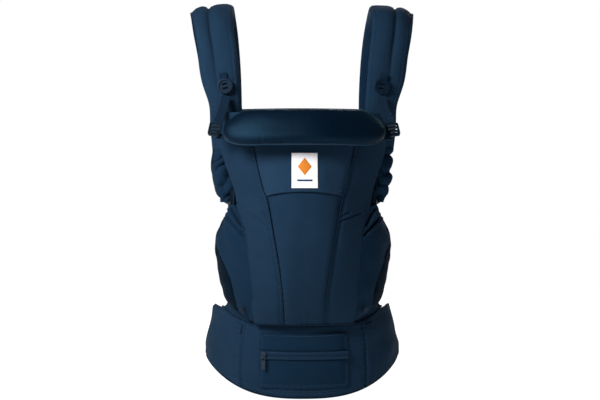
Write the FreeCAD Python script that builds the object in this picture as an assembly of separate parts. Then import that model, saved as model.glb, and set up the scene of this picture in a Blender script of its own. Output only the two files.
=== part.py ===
import FreeCAD, Part
import math
import os

# Soft baby carrier, standing as it is worn. Millimetres and degrees. +Z is up and -Y is the front, away
# from the wearer. The origin is on the waist ring's axis, level with the belt's lowest edge.
# The fabric layers are separate solids with a small air gap. The two sides mirror each other in X = 0.

Vec = FreeCAD.Vector
UP = Vec(0, 0, 1)
GAP = 0.4  # air between neighbouring layers

# Waist belt: an oval ring of padding in front and at the sides, closed behind by webbing
WAIST_A = 158.0  # half width of the waist oval
WAIST_B = 130.0  # half depth of the waist oval
BELT_LEAN = 0.22  # how much the belt draws in per millimetre of height above LEAN_FROM
LEAN_FROM = 70.0
BELT_RISE = 51.0  # how far the lower edge rises at the hips
BELT_END = 118.0  # angle round the oval, from the front, where the padding ends
BELT_TOP = [(0, 116), (30, 116), (46, 124), (62, 135), (95, 133), (118, 111)]  # angle, height
FOAM_IN, FOAM_OUT = -6.0, 4.0
FACING_IN, FACING_OUT = 7.3, 10.0
LINING_IN, LINING_OUT = -9.2, -6.8
POUCH_HALF_ANGLE = 26.0
POUCH_LOW, POUCH_HIGH = 15.0, 103.0
POUCH_THICK = 5.6
ZIP_LOW, ZIP_HIGH = 63.0, 74.0
ZIP_THICK = 1.2
SEAT_TAB_ANGLES = (34.0, 64.0)
SEAT_TAB_LOW, SEAT_TAB_HIGH = 92.0, 149.0

# Front panel: height, half width, depth at the centre, depth at the edge
PANEL = [
    (119, 80, -153, -133),
    (150, 86, -172, -142),
    (200, 88, -188, -150),
    (250, 92, -192, -150),
    (275, 97, -189, -139),
    (300, 108, -184, -118),
    (333, 114, -175, -107),
    (370, 127, -166, -99),
    (404, 138, -157, -95),
    (435, 136, -149, -103),
    (462, 130, -142, -112),
]
SEAM = [(119, 33.5), (172, 36), (200, 39), (230, 43.5), (261, 49), (300, 56), (322, 60.5), (335, 66),
        (354, 71), (386, 78), (462, 92)]  # height, distance of the long seams from the middle
PANEL_LOW, PANEL_HIGH = 119.0, 462.0
YOKE_LOW = 331.0
CROWN_POWER = 2.2
PANEL_THICK = 3.0
LINER_IN, LINER_OUT = -9.0, -6.0
LABEL_WIDE, LABEL_LOW, LABEL_HIGH = 41.0, 337.3, 393.6
SNAP_AT = (0.2, 0.06)  # place on the wing, across and up
SNAP_R = 4.5
SNAP_LIFT = 1.3  # over the wing's curve

# Side wings round the child's legs: seam point and outer point for each level
WING = [
    ((89, -139, 126), (117, -100, 141)),
    ((88, -143, 158), (131, -88, 158)),
    ((88, -149, 185), (139.5, -79, 185)),
    ((91.5, -151, 225), (146, -72, 225)),
    ((93.5, -150, 249), (147, -71, 249)),
    ((97.5, -141, 266), (142, -76, 268)),
    ((102.5, -130, 283), (133, -84, 284)),
    ((110.5, -117, 298), (119, -97, 297)),
]
WING_BULGE = 11.0
WING_THICK = 9.0

# Headrest pillow, folded down over the top of the panel
HEADREST_HALF = 131.0
HEADREST_TOP = (-153.0, 466.0)
HEADREST_LOW = (-188.0, 401.0)
HEADREST_SWEEP = 27.0
HEADREST_THICK = 13.5
HEADREST_SKIN = 1.6
HEADREST_TAPER = [(0, 1.0), (70, 1.0), (98, 0.95), (114, 0.8), (124, 0.58), (131, 0.2)]

# Shoulder strap, the right one: centre, width, direction across the width; front end first
STRAP = [
    ((125, -82, 402), 52, (1, 0.12, 0)),
    ((127, -85, 440), 55, (1, 0.12, 0)),
    ((129.5, -87, 480), 54, (1, 0.1, 0)),
    ((138, -84, 524), 64, (1, 0.08, 0)),
    ((144, -74, 566), 66, (1, 0.05, 0)),
    ((151, -58, 604), 68, (1, 0, -0.04)),
    ((155, -30, 636), 73, (1, 0, -0.09)),
    ((157, 5, 649.5), 77, (1, 0, -0.11)),
    ((155, 42, 639), 76, (1, 0, -0.09)),
    ((150, 73, 609), 73, (1, 0, -0.04)),
    ((143, 95, 566), 65, (1, 0, 0)),
    ((138, 105, 524), 58, (1, 0, 0)),
    ((135, 107, 480), 53, (1, 0, 0)),
    ((134, 106, 440), 50, (1, -0.02, 0)),
    ((138, 100, 408), 48, (1, -0.15, 0.1)),
    ((144, 84, 379), 46, (0.8, -0.4, 0.5)),
    ((146, 58, 356), 44, (0.3, -0.4, 0.9)),
    ((143, 32, 342), 42, (0.0, -0.3, 1)),
]
# Gathered cloth below the strap's front end, beside the panel: centre, half width, half thickness
GATHER = [
    ((127, -84, 399), 22, 8.5),
    ((134, -85, 375), 15, 9.5),
    ((133.5, -84, 350), 13.5, 10.5),
    ((134, -84, 331), 8.0, 7.9),
    ((131.5, -86, 316), 5.5, 5.4),
]
STRAP_CENTRE_THICK = 22.0
STRAP_EDGE_THICK = 10.0
STRAP_COVER = 3.0

# Webbing and plastic hardware
WEBBING_THICK = 1.8
SHOULDER_WEBBING = 25.0
WAIST_WEBBING = 38.0
HEADREST_WEBBING = 15.0
CHEST_WEBBING = 20.0
BUTTON_AT = (127.5, 506.0)
BUTTON_R = 13.0
BUTTON_THICK = 4.6
LOOP_TOP = (127.5, -106.0, 490.0)  # where the headrest loop hooks on, just under the button
LOCK_AT = (143.5, -136.0, 433.0)
LOCK_ALONG = Vec(0.15, -0.48, -0.86).normalize()
LOCK_ACROSS = Vec(0, -0.87, 0.485).cross(LOCK_ALONG).normalize()
LOOP_LOW = (129.6, -140.4, 420.5)  # where the loop is sewn to the pillow's corner
WEBBING_END = 0.6  # air between the end of a webbing and the hardware it is sewn to
LOCK_FRAME = 11.0  # half length of the ladder lock's frame
LOCK_SLOTS = [(-8.2, -4.6), (-1.6, 2.0), (5.0, 8.2)]  # along the webbing
LOCK_SLANT = [(1, 0, 0.1), (1, 0, 0.22), (1, 0, 0.3), (1, 0, 0.25)]  # across the loop, from the top down
SIDE_BUCKLE_AT = (117.0, -84.0, 322.0)
SIDE_BUCKLE_TURN = 82.0
SIDE_MOUTH = 18.0  # from SIDE_BUCKLE_AT to the mouth of the female half
# Buckles: webbing width, length of the female half, thickness, half width of the prong
SIDE_BUCKLE = (SHOULDER_WEBBING, 30.0, 11.0, 3.6)
CHEST_BUCKLE = (CHEST_WEBBING, 24.0, 9.0, 2.8)
WAIST_BUCKLE = (WAIST_WEBBING, 40.0, 14.0, 8.0)
BUCKLE_WALL = 2.0
BUCKLE_SIDE = 4.5  # how much wider than the webbing on each side
BUCKLE_END = 11.0  # length of the female half's end block
BUCKLE_BASE = 17.5  # how far the male half's base reaches from the mouth
SLOT_SIDE = 0.7  # room beside the webbing in a slot
RELEASE_R, RELEASE_AT = 4.9, -18.0  # the waist buckle's safety button, and its place from the mouth
CHEST_HEIGHT = 455.0
CHEST_MOUTH_X = -4.0
RAIL_X, RAIL_Y = 136.0, 121.5
RAIL_LOW, RAIL_HIGH = 420.0, 540.0
RAIL_WIDE = 9.0
SLIDER_HALF = 12.0  # half height of the chest slider
KEEPER_WALL, KEEPER_LONG = 1.4, 10.0
WAIST_BUCKLE_ANGLE = 139.0
WAIST_HEIGHT = 89.0
LUMBAR_HALF, LUMBAR_TALL, LUMBAR_THICK = 40.0, 84.0, 12.0
BACK_RADIUS = WAIST_A * WAIST_A / WAIST_B  # radius of the oval at its front and back


def table(t, rows):
    """Value at t of a smooth curve through the rows (t, value)."""
    last = len(rows) - 1
    if t <= rows[0][0]:
        return rows[0][1]
    if t >= rows[last][0]:
        return rows[last][1]
    i = max(k for k in range(last) if rows[k][0] <= t)

    def slope(k):
        a, b = max(k - 1, 0), min(k + 1, last)
        return (rows[b][1] - rows[a][1]) / (rows[b][0] - rows[a][0])

    h = rows[i + 1][0] - rows[i][0]
    s = (t - rows[i][0]) / h
    return (
        rows[i][1] * (1 + 2 * s) * (1 - s) ** 2
        + rows[i + 1][1] * s * s * (3 - 2 * s)
        + h * slope(i) * s * (1 - s) ** 2
        - h * slope(i + 1) * s * s * (1 - s)
    )


def column(rows, k):
    return [(row[0], row[k]) for row in rows]


def spread(low, high, count):
    return [low + (high - low) * k / (count - 1) for k in range(count)]


# ---------------------------------------------------------------- solids from surfaces


def closed_solid(faces):
    """One solid from faces that meet edge to edge."""
    shell = Part.makeShell(faces)
    shell.sewShape()
    solid = Part.makeSolid(shell)
    if solid.Volume < 0:
        solid.reverse()
    return solid


def slab(front, back):
    """A solid between two grids of points with the same rows and columns."""
    sheets = []
    for grid in (front, back):
        sheet = Part.BSplineSurface()
        sheet.interpolate(grid)
        sheets.append(sheet)
    faces = [sheet.toShape() for sheet in sheets]
    for ends in (0, 1):
        edges = []
        for sheet in sheets:
            edges.append(sheet.uIso(sheet.bounds()[ends]).toShape())
        faces.append(Part.makeRuledSurface(edges[0], edges[1]))
        edges = []
        for sheet in sheets:
            edges.append(sheet.vIso(sheet.bounds()[2 + ends]).toShape())
        faces.append(Part.makeRuledSurface(edges[0], edges[1]))
    return closed_solid(faces)


def normal_of(place, u, v, du, dv):
    """Unit normal of the surface place(u, v)."""
    along_u = place(u + du, v) - place(u - du, v)
    along_v = place(u, v + dv) - place(u, v - dv)
    return along_u.cross(along_v).normalize()


def layer(place, us, vs, low, high):
    """A slab that follows the surface place(u, v), between two distances from it.

    The distances are numbers, or functions of u and v."""
    du = abs(us[-1] - us[0]) * 1e-4
    dv = abs(vs[-1] - vs[0]) * 1e-4
    grids = []
    for away in (high, low):
        rows = []
        for u in us:
            row = []
            for v in vs:
                d = away(u, v) if callable(away) else away
                row.append(place(u, v) + normal_of(place, u, v, du, dv) * d)
            rows.append(row)
        grids.append(rows)
    return slab(grids[0], grids[1])


def ribbon(stations, width, thick=WEBBING_THICK):
    """Flat webbing through stations (centre, direction across, direction of the face)."""
    front, back = [], []
    for centre, across, face in stations:
        c, a, f = Vec(*centre), Vec(*across).normalize(), Vec(*face).normalize()
        ends = [c - a * (width / 2), c + a * (width / 2)]
        front.append([p + f * (thick / 2) for p in ends])
        back.append([p - f * (thick / 2) for p in ends])
    return slab(front, back)


def placed(shape, origin, length_axis, width_axis):
    """A copy whose local X and Y run along the two axes given, at the origin given."""
    x = Vec(*length_axis).normalize()
    y = Vec(*width_axis).normalize()
    z = x.cross(y)
    o = Vec(*origin)
    rows = (x.x, y.x, z.x, o.x, x.y, y.y, z.y, o.y, x.z, y.z, z.z, o.z, 0, 0, 0, 1)
    copy = shape.copy()
    copy.Placement = FreeCAD.Placement(FreeCAD.Matrix(*rows))
    return copy


def mirrored(shape):
    return shape.mirror(Vec(0, 0, 0), Vec(1, 0, 0))


def block(x, y, z):
    """A box between the low and high ends (pairs) on each axis."""
    return Part.makeBox(x[1] - x[0], y[1] - y[0], z[1] - z[0], Vec(x[0], y[0], z[0]))


def rounded_block(x, y, z, r):
    """A box with the edges along Z rounded."""
    box = block(x, y, z)
    upright = [e for e in box.Edges if abs(e.BoundBox.ZLength - (z[1] - z[0])) < 1e-6]
    return box.makeFillet(r, upright)


def softened(shape, r):
    """The shape with its edges rounded, where the kernel can do it."""
    try:
        round_one = shape.makeFillet(r, shape.Edges)
        if round_one.isValid() and round_one.Volume > 0:
            return round_one
    except Part.OCCError:
        pass
    return shape


def cylinder(r, low, high, x=0.0, y=0.0):
    return Part.makeCylinder(r, high - low, Vec(x, y, low))


# ---------------------------------------------------------------- the fabric surfaces


def waist_point(angle, z):
    """A point on the waist oval, angle in degrees from the front towards +X."""
    a = WAIST_A - BELT_LEAN * max(z - LEAN_FROM, 0.0)
    t = math.radians(angle)
    return Vec(a * math.sin(t), -WAIST_B * math.cos(t), z)


def belt_low(angle):
    side = abs(math.sin(math.radians(angle))) ** 3 * BELT_RISE
    past = min(max((abs(angle) - 90.0) / (BELT_END - 90.0), 0.0), 1.0)
    return side if past == 0 else BELT_RISE + 15.0 * past * past * (3 - 2 * past)


def belt_high(angle):
    return table(abs(angle), BELT_TOP)


def belt_surface(angle, v):
    """v runs from 0 at the lower edge to 1 at the upper edge."""
    return waist_point(angle, belt_low(angle) * (1 - v) + belt_high(angle) * v)


def level_surface(angle, z):
    return waist_point(angle, z)


def panel_surface(u, z):
    """u runs from -1 at the left edge to 1 at the right edge."""
    half = table(z, column(PANEL, 1))
    middle = table(z, column(PANEL, 2))
    edge = table(z, column(PANEL, 3))
    return Vec(u * half, middle + (edge - middle) * abs(u) ** CROWN_POWER, z)


def panel_at(x, z):
    return panel_surface(x / table(z, column(PANEL, 1)), z)


def between_seams(t, z):
    """t runs from -1 to 1 between the two long seams."""
    return panel_at(t * (table(z, SEAM) - GAP), z)


def beside_seam(t, z):
    """t runs from 0 at the right long seam to 1 at the panel's right edge."""
    low = table(z, SEAM) + GAP
    return panel_at(low + (table(z, column(PANEL, 1)) - low) * t, z)


def wing_surface(u, v):
    """u runs from 0 at the seam to 1 at the outer edge, v from 0 at the bottom to 1 at the top."""
    k = v * (len(WING) - 1)
    inner = Vec(*[table(k, [(n, row[0][i]) for n, row in enumerate(WING)]) for i in range(3)])
    outer = Vec(*[table(k, [(n, row[1][i]) for n, row in enumerate(WING)]) for i in range(3)])
    out = (outer - inner).cross(UP).normalize()
    swell = WING_BULGE * 4 * u * (1 - u) * math.sin(math.pi * min(max(v, 0.0), 1.0)) ** 0.5
    return inner + (outer - inner) * u + out * swell


def strap_frame(v):
    """Centre, direction across, outward direction and width of the right strap, v from 0 to 1."""
    k = v * (len(STRAP) - 1)

    def centre(t):
        return Vec(*[table(t, [(n, row[0][i]) for n, row in enumerate(STRAP)]) for i in range(3)])

    step = 0.02
    along = (centre(k + step) - centre(k - step)).normalize()
    across = Vec(*[table(k, [(n, row[2][i]) for n, row in enumerate(STRAP)]) for i in range(3)])
    across = (across - along * across.dot(along)).normalize()
    width = table(k, [(n, row[1]) for n, row in enumerate(STRAP)])
    return centre(k), across, across.cross(along).normalize(), width


def strap_half_thick(u):
    edge, middle = STRAP_EDGE_THICK / 2, STRAP_CENTRE_THICK / 2
    return edge + (middle - edge) * (1 - (2 * abs(u)) ** 3)


def strap_slab(low, high, vs, margin=0.0):
    """A layer of the right strap between two distances from its middle, as functions of u."""
    front, back = [], []
    for v in vs:
        centre, across, out, width = strap_frame(v)
        rows = ([], [])
        for u in spread(-0.5, 0.5, 7):
            p = centre + across * (u * (width - margin))
            rows[0].append(p + out * high(u))
            rows[1].append(p + out * low(u))
        front.append(rows[0])
        back.append(rows[1])
    return slab(front, back)


# ---------------------------------------------------------------- belt


def make_belt():
    around = spread(-BELT_END, BELT_END, 25)
    up = spread(0.0, 1.0, 5)
    inner_up = spread(0.03, 0.97, 5)
    parts = {
        "belt_foam": layer(belt_surface, around, inner_up, FOAM_IN, FOAM_OUT),
        "belt_facing": layer(belt_surface, around, up, FACING_IN, FACING_OUT),
        "belt_lining": layer(belt_surface, around, up, LINING_IN, LINING_OUT),
    }
    front = spread(-POUCH_HALF_ANGLE, POUCH_HALF_ANGLE, 9)
    pouch_in = FACING_OUT + GAP
    pouch_out = pouch_in + POUCH_THICK
    parts["pouch"] = layer(level_surface, front, spread(POUCH_LOW, POUCH_HIGH, 4), pouch_in, pouch_out)
    zip_in = pouch_out + 0.1
    zip_angle = POUCH_HALF_ANGLE - 1.0
    parts["pouch_zipper"] = layer(
        level_surface, spread(-zip_angle, zip_angle, 9), spread(ZIP_LOW, ZIP_HIGH, 3),
        zip_in, zip_in + ZIP_THICK,
    )
    return parts


def make_zipper_puller():
    """The slider on the zip and the pull that hinges on it, at the zip's left end."""
    front = FACING_OUT + GAP + POUCH_THICK + 0.1 + ZIP_THICK
    angle = -(POUCH_HALF_ANGLE - 4.0)
    middle = (ZIP_LOW + ZIP_HIGH) / 2
    at = waist_point(angle, middle)
    out = normal_of(level_surface, angle, middle, 0.01, 0.01)
    across = UP.cross(out)
    # local X across the belt, local Y up, local Z out of the belt
    body = softened(rounded_block((-4, 4), (-5, 5), (0, 2.2), 1.2), 0.3)
    bridge = block((-1.1, 1.1), (-4.2, 0.5), (2.0, 4.6))
    bore = Part.makeCylinder(1.1, 4.0, Vec(-2, -2.2, 3.4), Vec(1, 0, 0))
    slider = body.fuse(bridge).cut(bore).removeSplitter()
    pin = Part.makeCylinder(0.8, 6.0, Vec(-3, -2.2, 3.4), Vec(1, 0, 0))
    arms = [block((s * 2.4 - 0.7, s * 2.4 + 0.7), (-8.5, -1.2), (2.7, 4.1)) for s in (-1, 1)]
    tab = rounded_block((-3.1, 3.1), (-22, -7.5), (2.7, 4.1), 1.4)
    pull = pin.fuse(arms + [tab]).removeSplitter()
    origin = at + out * (front + 0.3)
    return {
        "zipper_slider": placed(slider, origin, across, UP),
        "zipper_pull": placed(pull, origin, across, UP),
    }


def make_seat_tab():
    """Hook-and-loop tab that sets the seat's width, between the foam and the facing."""
    low, high = SEAT_TAB_ANGLES
    middle = FOAM_OUT + (FACING_IN - FOAM_OUT) / 2
    return layer(
        level_surface, spread(low, high, 6), spread(SEAT_TAB_LOW, SEAT_TAB_HIGH, 4),
        middle - 0.9, middle + 0.9,
    )


# ---------------------------------------------------------------- panel, wings, headrest


def make_panel():
    t = spread(-1.0, 1.0, 7)
    side = spread(0.0, 1.0, 5)
    low_rows = spread(PANEL_LOW, YOKE_LOW - GAP, 12)
    high_rows = spread(YOKE_LOW, PANEL_HIGH, 8)
    all_rows = spread(PANEL_LOW, PANEL_HIGH, 20)
    right = layer(beside_seam, side, all_rows, -PANEL_THICK, 0.0)
    liner = layer(
        panel_surface, spread(-0.94, 0.94, 9), spread(PANEL_LOW + 22, PANEL_HIGH - 8, 16),
        LINER_IN, LINER_OUT,
    )
    label_half = LABEL_WIDE / 2
    label = layer(
        panel_at, spread(-label_half, label_half, 4), spread(LABEL_LOW, LABEL_HIGH, 4), GAP, GAP + 0.8
    )
    return {
        "centre_panel": layer(between_seams, t, low_rows, -PANEL_THICK, 0.0),
        "yoke_panel": layer(between_seams, t, high_rows, -PANEL_THICK, 0.0),
        "side_panel_right": right,
        "side_panel_left": mirrored(right),
        "inner_liner": liner,
        "label_patch": label,
    }


def make_snap():
    """Press stud at the wing's lower inner corner."""
    out = normal_of(wing_surface, *SNAP_AT, 0.01, 0.01)
    across = UP.cross(out).normalize()
    disc = cylinder(SNAP_R, SNAP_LIFT, SNAP_LIFT + 2.0)
    disc = disc.cut(cylinder(SNAP_R / 3, SNAP_LIFT + 1.4, SNAP_LIFT + 3.0))
    return placed(softened(disc, 0.3), wing_surface(*SNAP_AT), across, out.cross(across))


def make_wing():
    """The padded wing and the soft roll behind its outer edge."""
    us = spread(0.0, 1.0, 6)
    vs = spread(0.0, 1.0, 10)

    def thick(u, v):
        return -WING_THICK * (0.45 + 0.55 * math.sin(math.pi * (0.08 + 0.84 * u)))

    wing = layer(wing_surface, us, vs, thick, 0.0)

    def roll_front(u, v):
        return thick(u, v) - GAP

    def roll_back(u, v):
        return thick(u, v) - GAP - 5.0

    roll = layer(wing_surface, spread(0.45, 0.97, 5), spread(0.08, 0.92, 8), roll_back, roll_front)
    return wing, roll


def headrest_solid(inset):
    """A pillow with an oval section, smaller all round by the inset."""
    top = Vec(0, *HEADREST_TOP)
    low = Vec(0, *HEADREST_LOW)
    long_axis = (top - low).normalize()
    half_long = (top - low).Length / 2
    wires = []
    for x, size in [(-x, s) for x, s in reversed(HEADREST_TAPER[1:])] + HEADREST_TAPER:
        reach = min(abs(x), HEADREST_HALF)
        centre = (top + low) * 0.5 + Vec(0, HEADREST_SWEEP * (reach / HEADREST_HALF) ** 2, 0)
        centre.x = x * (HEADREST_HALF - inset) / HEADREST_HALF
        oval = Part.Ellipse(Vec(0, 0, 0), half_long * size - inset, HEADREST_THICK * size ** 0.7 - inset)
        edge = oval.toShape()
        across = Vec(1, 0, 0).cross(long_axis)
        rows = (long_axis.x, across.x, 1, centre.x, long_axis.y, across.y, 0, centre.y,
                long_axis.z, across.z, 0, centre.z, 0, 0, 0, 1)
        edge.Placement = FreeCAD.Placement(FreeCAD.Matrix(*rows))
        wires.append(Part.Wire([edge]))
    return Part.makeLoft(wires, True, False)


def make_headrest():
    outer = headrest_solid(0.0)
    cover = outer.cut(headrest_solid(HEADREST_SKIN))
    return {"headrest_cover": cover, "headrest_foam": headrest_solid(HEADREST_SKIN + GAP)}


def make_headrest_hinge():
    """Binding that joins the panel's top edge to the pillow's top edge."""
    stations = []
    for x in spread(-100, 100, 9):
        back = panel_at(x, PANEL_HIGH)
        stations.append(((x, back.y - 1.6, PANEL_HIGH + 2.6), (0, -1, 0.35), (0, 0.35, 1)))
    return ribbon(stations, 5.0, 1.6)


# ---------------------------------------------------------------- shoulder straps


def make_strap():
    vs = spread(0.0, 1.0, 40)
    half = strap_half_thick
    cover = strap_slab(lambda u: half(u) - STRAP_COVER, half, vs)
    foam = strap_slab(
        lambda u: -half(u) + STRAP_COVER + GAP, lambda u: half(u) - STRAP_COVER - GAP, vs, 3.0
    )
    lining = strap_slab(lambda u: -half(u), lambda u: -half(u) + STRAP_COVER, vs)
    return {"shoulder_pad": cover, "strap_foam": foam, "strap_lining": lining}


def make_gather():
    """Cloth gathered between the end of the shoulder pad and the side buckle, an oval column."""
    wires = []
    for (x, y, z), wide, thick in GATHER:
        wires.append(Part.Wire([Part.Ellipse(Vec(x, y, z), wide, thick).toShape()]))
    return Part.makeLoft(wires, True, False)


def strap_front_frame(x, z):
    """A point on the front face of the right strap near x, z, with its outward and downward axes."""
    best = min(spread(0.0, 0.3, 61), key=lambda v: abs(strap_frame(v)[0].z - z))
    centre, across, out, width = strap_frame(best)
    u = (x - centre.x) / width
    point = centre + across * (u * width) + out * strap_half_thick(u)
    return point, out, across


def make_button():
    """Ring button on its webbing tab, on the inner edge of the strap's front."""
    point, out, across = strap_front_frame(*BUTTON_AT)
    down = out.cross(across)
    if down.z > 0:
        down = down * -1
    disc = cylinder(BUTTON_R, 0, BUTTON_THICK)
    dish = cylinder(BUTTON_R - 3.4, BUTTON_THICK - 1.6, BUTTON_THICK + 1)
    slots = [rounded_block((-4.6, 4.6), (s * 3.6 - 1.5, s * 3.6 + 1.5), (-1, BUTTON_THICK + 1), 1.2)
             for s in (-1, 1)]
    button = disc.cut(dish.fuse(slots)).removeSplitter()
    rim = [e for e in button.Edges if abs(e.BoundBox.DiagonalLength - 2 ** 0.5 * 2 * BUTTON_R) < 0.5]
    button = button.makeFillet(0.9, rim)
    button_in = WEBBING_THICK + 2 * GAP
    tab_out = GAP + WEBBING_THICK / 2
    stations = []
    for d in (-23.0, -14.0, -5.0, 4.0):
        stations.append((tuple(point + out * (tab_out + 1.0) + down * d), tuple(across), tuple(out)))
    tab = ribbon(stations, 12.0)
    placed_button = placed(button, point + out * (button_in + 1.2), across, across.cross(out) * -1)
    return tab, placed_button


def make_headrest_loop():
    """Webbing from the button down to the ladder lock, and from the lock to the pillow's corner."""
    top, lock, low = Vec(*LOOP_TOP), Vec(*LOCK_AT), Vec(*LOOP_LOW)
    face = (0, -0.85, 0.5)
    ends = [top, top * 0.62 + lock * 0.38 + Vec(-2.0, 0, 0), top * 0.3 + lock * 0.7 + Vec(-1.0, 0, 0)]
    ends.append(lock + Vec(-3.0, 5.5, 11.5))
    upper = [(tuple(p), way, face) for p, way in zip(ends, LOCK_SLANT)]
    lower = [
        (tuple(low + Vec(-8.0, -1.6, 0)), tuple(LOCK_ALONG), (0.4, -0.8, 0.45)),
        (tuple(low), tuple(LOCK_ALONG), (0.35, -0.82, 0.45)),
        (tuple(low + Vec(12.0, 2.4, 1.0)), tuple(LOCK_ALONG), (0, -0.87, 0.485)),
    ]
    return ribbon(upper, HEADREST_WEBBING), ribbon(lower, HEADREST_WEBBING - 4)


def make_ladder_lock():
    """Frame with three bars and a lifting lip; local X down the webbing, local Y across."""
    half = HEADREST_WEBBING / 2 + 3.0
    frame = rounded_block((-LOCK_FRAME, LOCK_FRAME), (-half, half), (-1.9, 1.9), 2.5)
    slots = [
        rounded_block((low, high), (-half + 2.6, half - 2.6), (-4, 4), 0.8) for low, high in LOCK_SLOTS
    ]
    lip = rounded_block((8.5, 14.0), (-half + 2, half - 2), (0.4, 3.4), 1.2)
    return frame.cut(slots[0].fuse(slots[1:])).fuse(lip).removeSplitter()


# ---------------------------------------------------------------- buckles


def buckle_pair(webbing, female_long, thick, prong_half):
    """Side-release buckle. Local X is the way the male half leaves, Y the width, Z the thickness.

    The mouth is at X = 0. The female half is two plates joined by an end block and two ribs, so its
    sides are open for the arms. The arms and the prong are one moulding with the male base."""
    wide = webbing / 2 + BUCKLE_SIDE
    slot_half = webbing / 2 + SLOT_SIDE
    inner = thick / 2 - BUCKLE_WALL
    low = -female_long
    squeeze = low / 2 + 3  # where the fingers press the arms
    plates = rounded_block((low, 0), (-wide, wide), (-thick / 2, thick / 2), 4.0)
    cavity = block((low + BUCKLE_END, 1), (-wide - 1, wide + 1), (-inner, inner))
    female = plates.cut(cavity)
    ribs = []
    for s in (-1, 1):
        middle = s * (prong_half + 1.5)
        ribs.append(block((low + BUCKLE_END - 1, -1), (middle - 1, middle + 1), (-inner - 1, inner + 1)))
    slot = rounded_block((low + 3.2, low + 6.8), (-slot_half, slot_half), (-thick, thick), 1.2)
    notches = [
        Part.makeCylinder(9.0, 3 * thick, Vec(squeeze, s * (wide + 5.6), -1.5 * thick)) for s in (-1, 1)
    ]
    female = female.fuse(ribs).cut(slot.fuse(notches)).removeSplitter()

    base = rounded_block((0.5, BUCKLE_BASE), (-wide, wide), (-thick / 2 + 0.5, thick / 2 - 0.5), 2.5)
    gaps = [
        rounded_block((x, x + 3.4), (-slot_half, slot_half), (-thick, thick), 1.2) for x in (4.2, 10.6)
    ]
    arm_in, arm_out = wide - 6.4, wide - 1.6
    arm_z = inner - 0.6
    tip = low + BUCKLE_END + 2.0
    arms = []
    for s in (-1, 1):
        arm = block((tip + 3, 1.5), sorted((s * arm_in, s * arm_out)), (-arm_z, arm_z))
        grip = Part.makeCylinder(8.0, 2 * arm_z, Vec(squeeze, s * (wide - 5.4), -arm_z))
        keep = block((tip + 1, -1), sorted((s * arm_in, s * (wide + 3))), (-arm_z, arm_z))
        nose = cylinder((arm_out - arm_in) / 2, -arm_z, arm_z, tip + 3, s * (arm_in + arm_out) / 2)
        arms += [arm, grip.common(keep), nose]
    prong_low = -inner + 0.6
    prong_high = prong_low + 2 * min(2.4, inner - 1.0)
    prong = rounded_block((tip + 4, 1.5), (-prong_half, prong_half), (prong_low, prong_high), 1.5)
    male = base.cut(gaps[0].fuse(gaps[1])).fuse(arms + [prong]).removeSplitter()
    return female, male


def side_buckle_axes():
    t = math.radians(SIDE_BUCKLE_TURN)
    return Vec(math.cos(t), math.sin(t), 0), UP


def make_side_buckle():
    female, male = buckle_pair(*SIDE_BUCKLE)
    along, across = side_buckle_axes()
    origin = Vec(*SIDE_BUCKLE_AT) + along * SIDE_MOUTH
    return placed(female, origin, along, across), placed(male, origin, along, across)


def make_buckle_anchor():
    """Webbing sewn to the panel's side that holds the female half."""
    along, across = side_buckle_axes()
    face = along.cross(across)
    start = Vec(*SIDE_BUCKLE_AT) + along * (SIDE_MOUTH - SIDE_BUCKLE[1] - WEBBING_END)
    stations = []
    for d in (0.0, 1.6, 3.2):
        stations.append((tuple(start - along * d), tuple(across), tuple(face)))
    return ribbon(stations, SHOULDER_WEBBING)


def shoulder_webbing_route():
    """From the shoulder pad's end forward along the side to the male half."""
    along, across = side_buckle_axes()
    face = along.cross(across)
    mouth = Vec(*SIDE_BUCKLE_AT) + along * (SIDE_MOUTH + BUCKLE_BASE + WEBBING_END)
    end, end_across, end_face, _ = strap_frame(1.0)
    tail = strap_frame(0.998)[0]
    heading = (end - tail).normalize()
    begin = end + heading * WEBBING_END
    middle = (begin + mouth) * 0.5 + Vec(6.5, 0, -1.5)
    quarter = (begin + middle) * 0.5 + Vec(2.0, 0, -1.0)
    return [
        (tuple(begin), tuple(end_across), tuple(end_face)),
        (tuple(quarter), (0, -0.2, 1), (1, -0.05, 0)),
        (tuple(middle), (0, -0.1, 1), (1, -0.2, 0)),
        (tuple((middle + mouth) * 0.5 + Vec(2.0, 0, 0)), (0, 0, 1), tuple(face + Vec(0.1, 0, 0))),
        (tuple(mouth), tuple(across), tuple(face)),
    ]


# ---------------------------------------------------------------- chest strap


def make_rail():
    """Strip on the back of the shoulder pad that the chest slider grips, sewn at both ends."""
    strip = block((-RAIL_WIDE / 2, RAIL_WIDE / 2), (-1.0, 1.0), (RAIL_LOW, RAIL_HIGH))
    strip.translate(Vec(RAIL_X, RAIL_Y, 0))
    return strip


def make_chest_slider():
    """Clip round the rail, with a loop for the chest webbing on its inner side."""
    half = RAIL_WIDE / 2
    tall = SLIDER_HALF
    body = rounded_block((-half - 3.2, half + 3.2), (-tall, tall), (-2.8, 2.8), 2.5)
    tunnel = block((-half - 0.5, half + 0.5), (-tall - 1, tall + 1), (-1.5, 1.5))
    mouth = block((-half + 1.5, half - 1.5), (-tall - 1, tall + 1), (-4, 0))
    loop = rounded_block((-half - 12.5, -half - 2.7), (-tall, tall), (-1.2, 2.8), 2.0)
    window = rounded_block(
        (-half - 9.4, -half - 5.6), (-CHEST_WEBBING / 2 - 0.6, CHEST_WEBBING / 2 + 0.6), (-4, 4), 1.0
    )
    clip = body.cut(tunnel).cut(mouth).fuse(loop).cut(window).removeSplitter()
    clip = placed(clip, (RAIL_X, RAIL_Y, CHEST_HEIGHT), (1, 0, 0), (0, 0, 1))
    return clip


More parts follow.
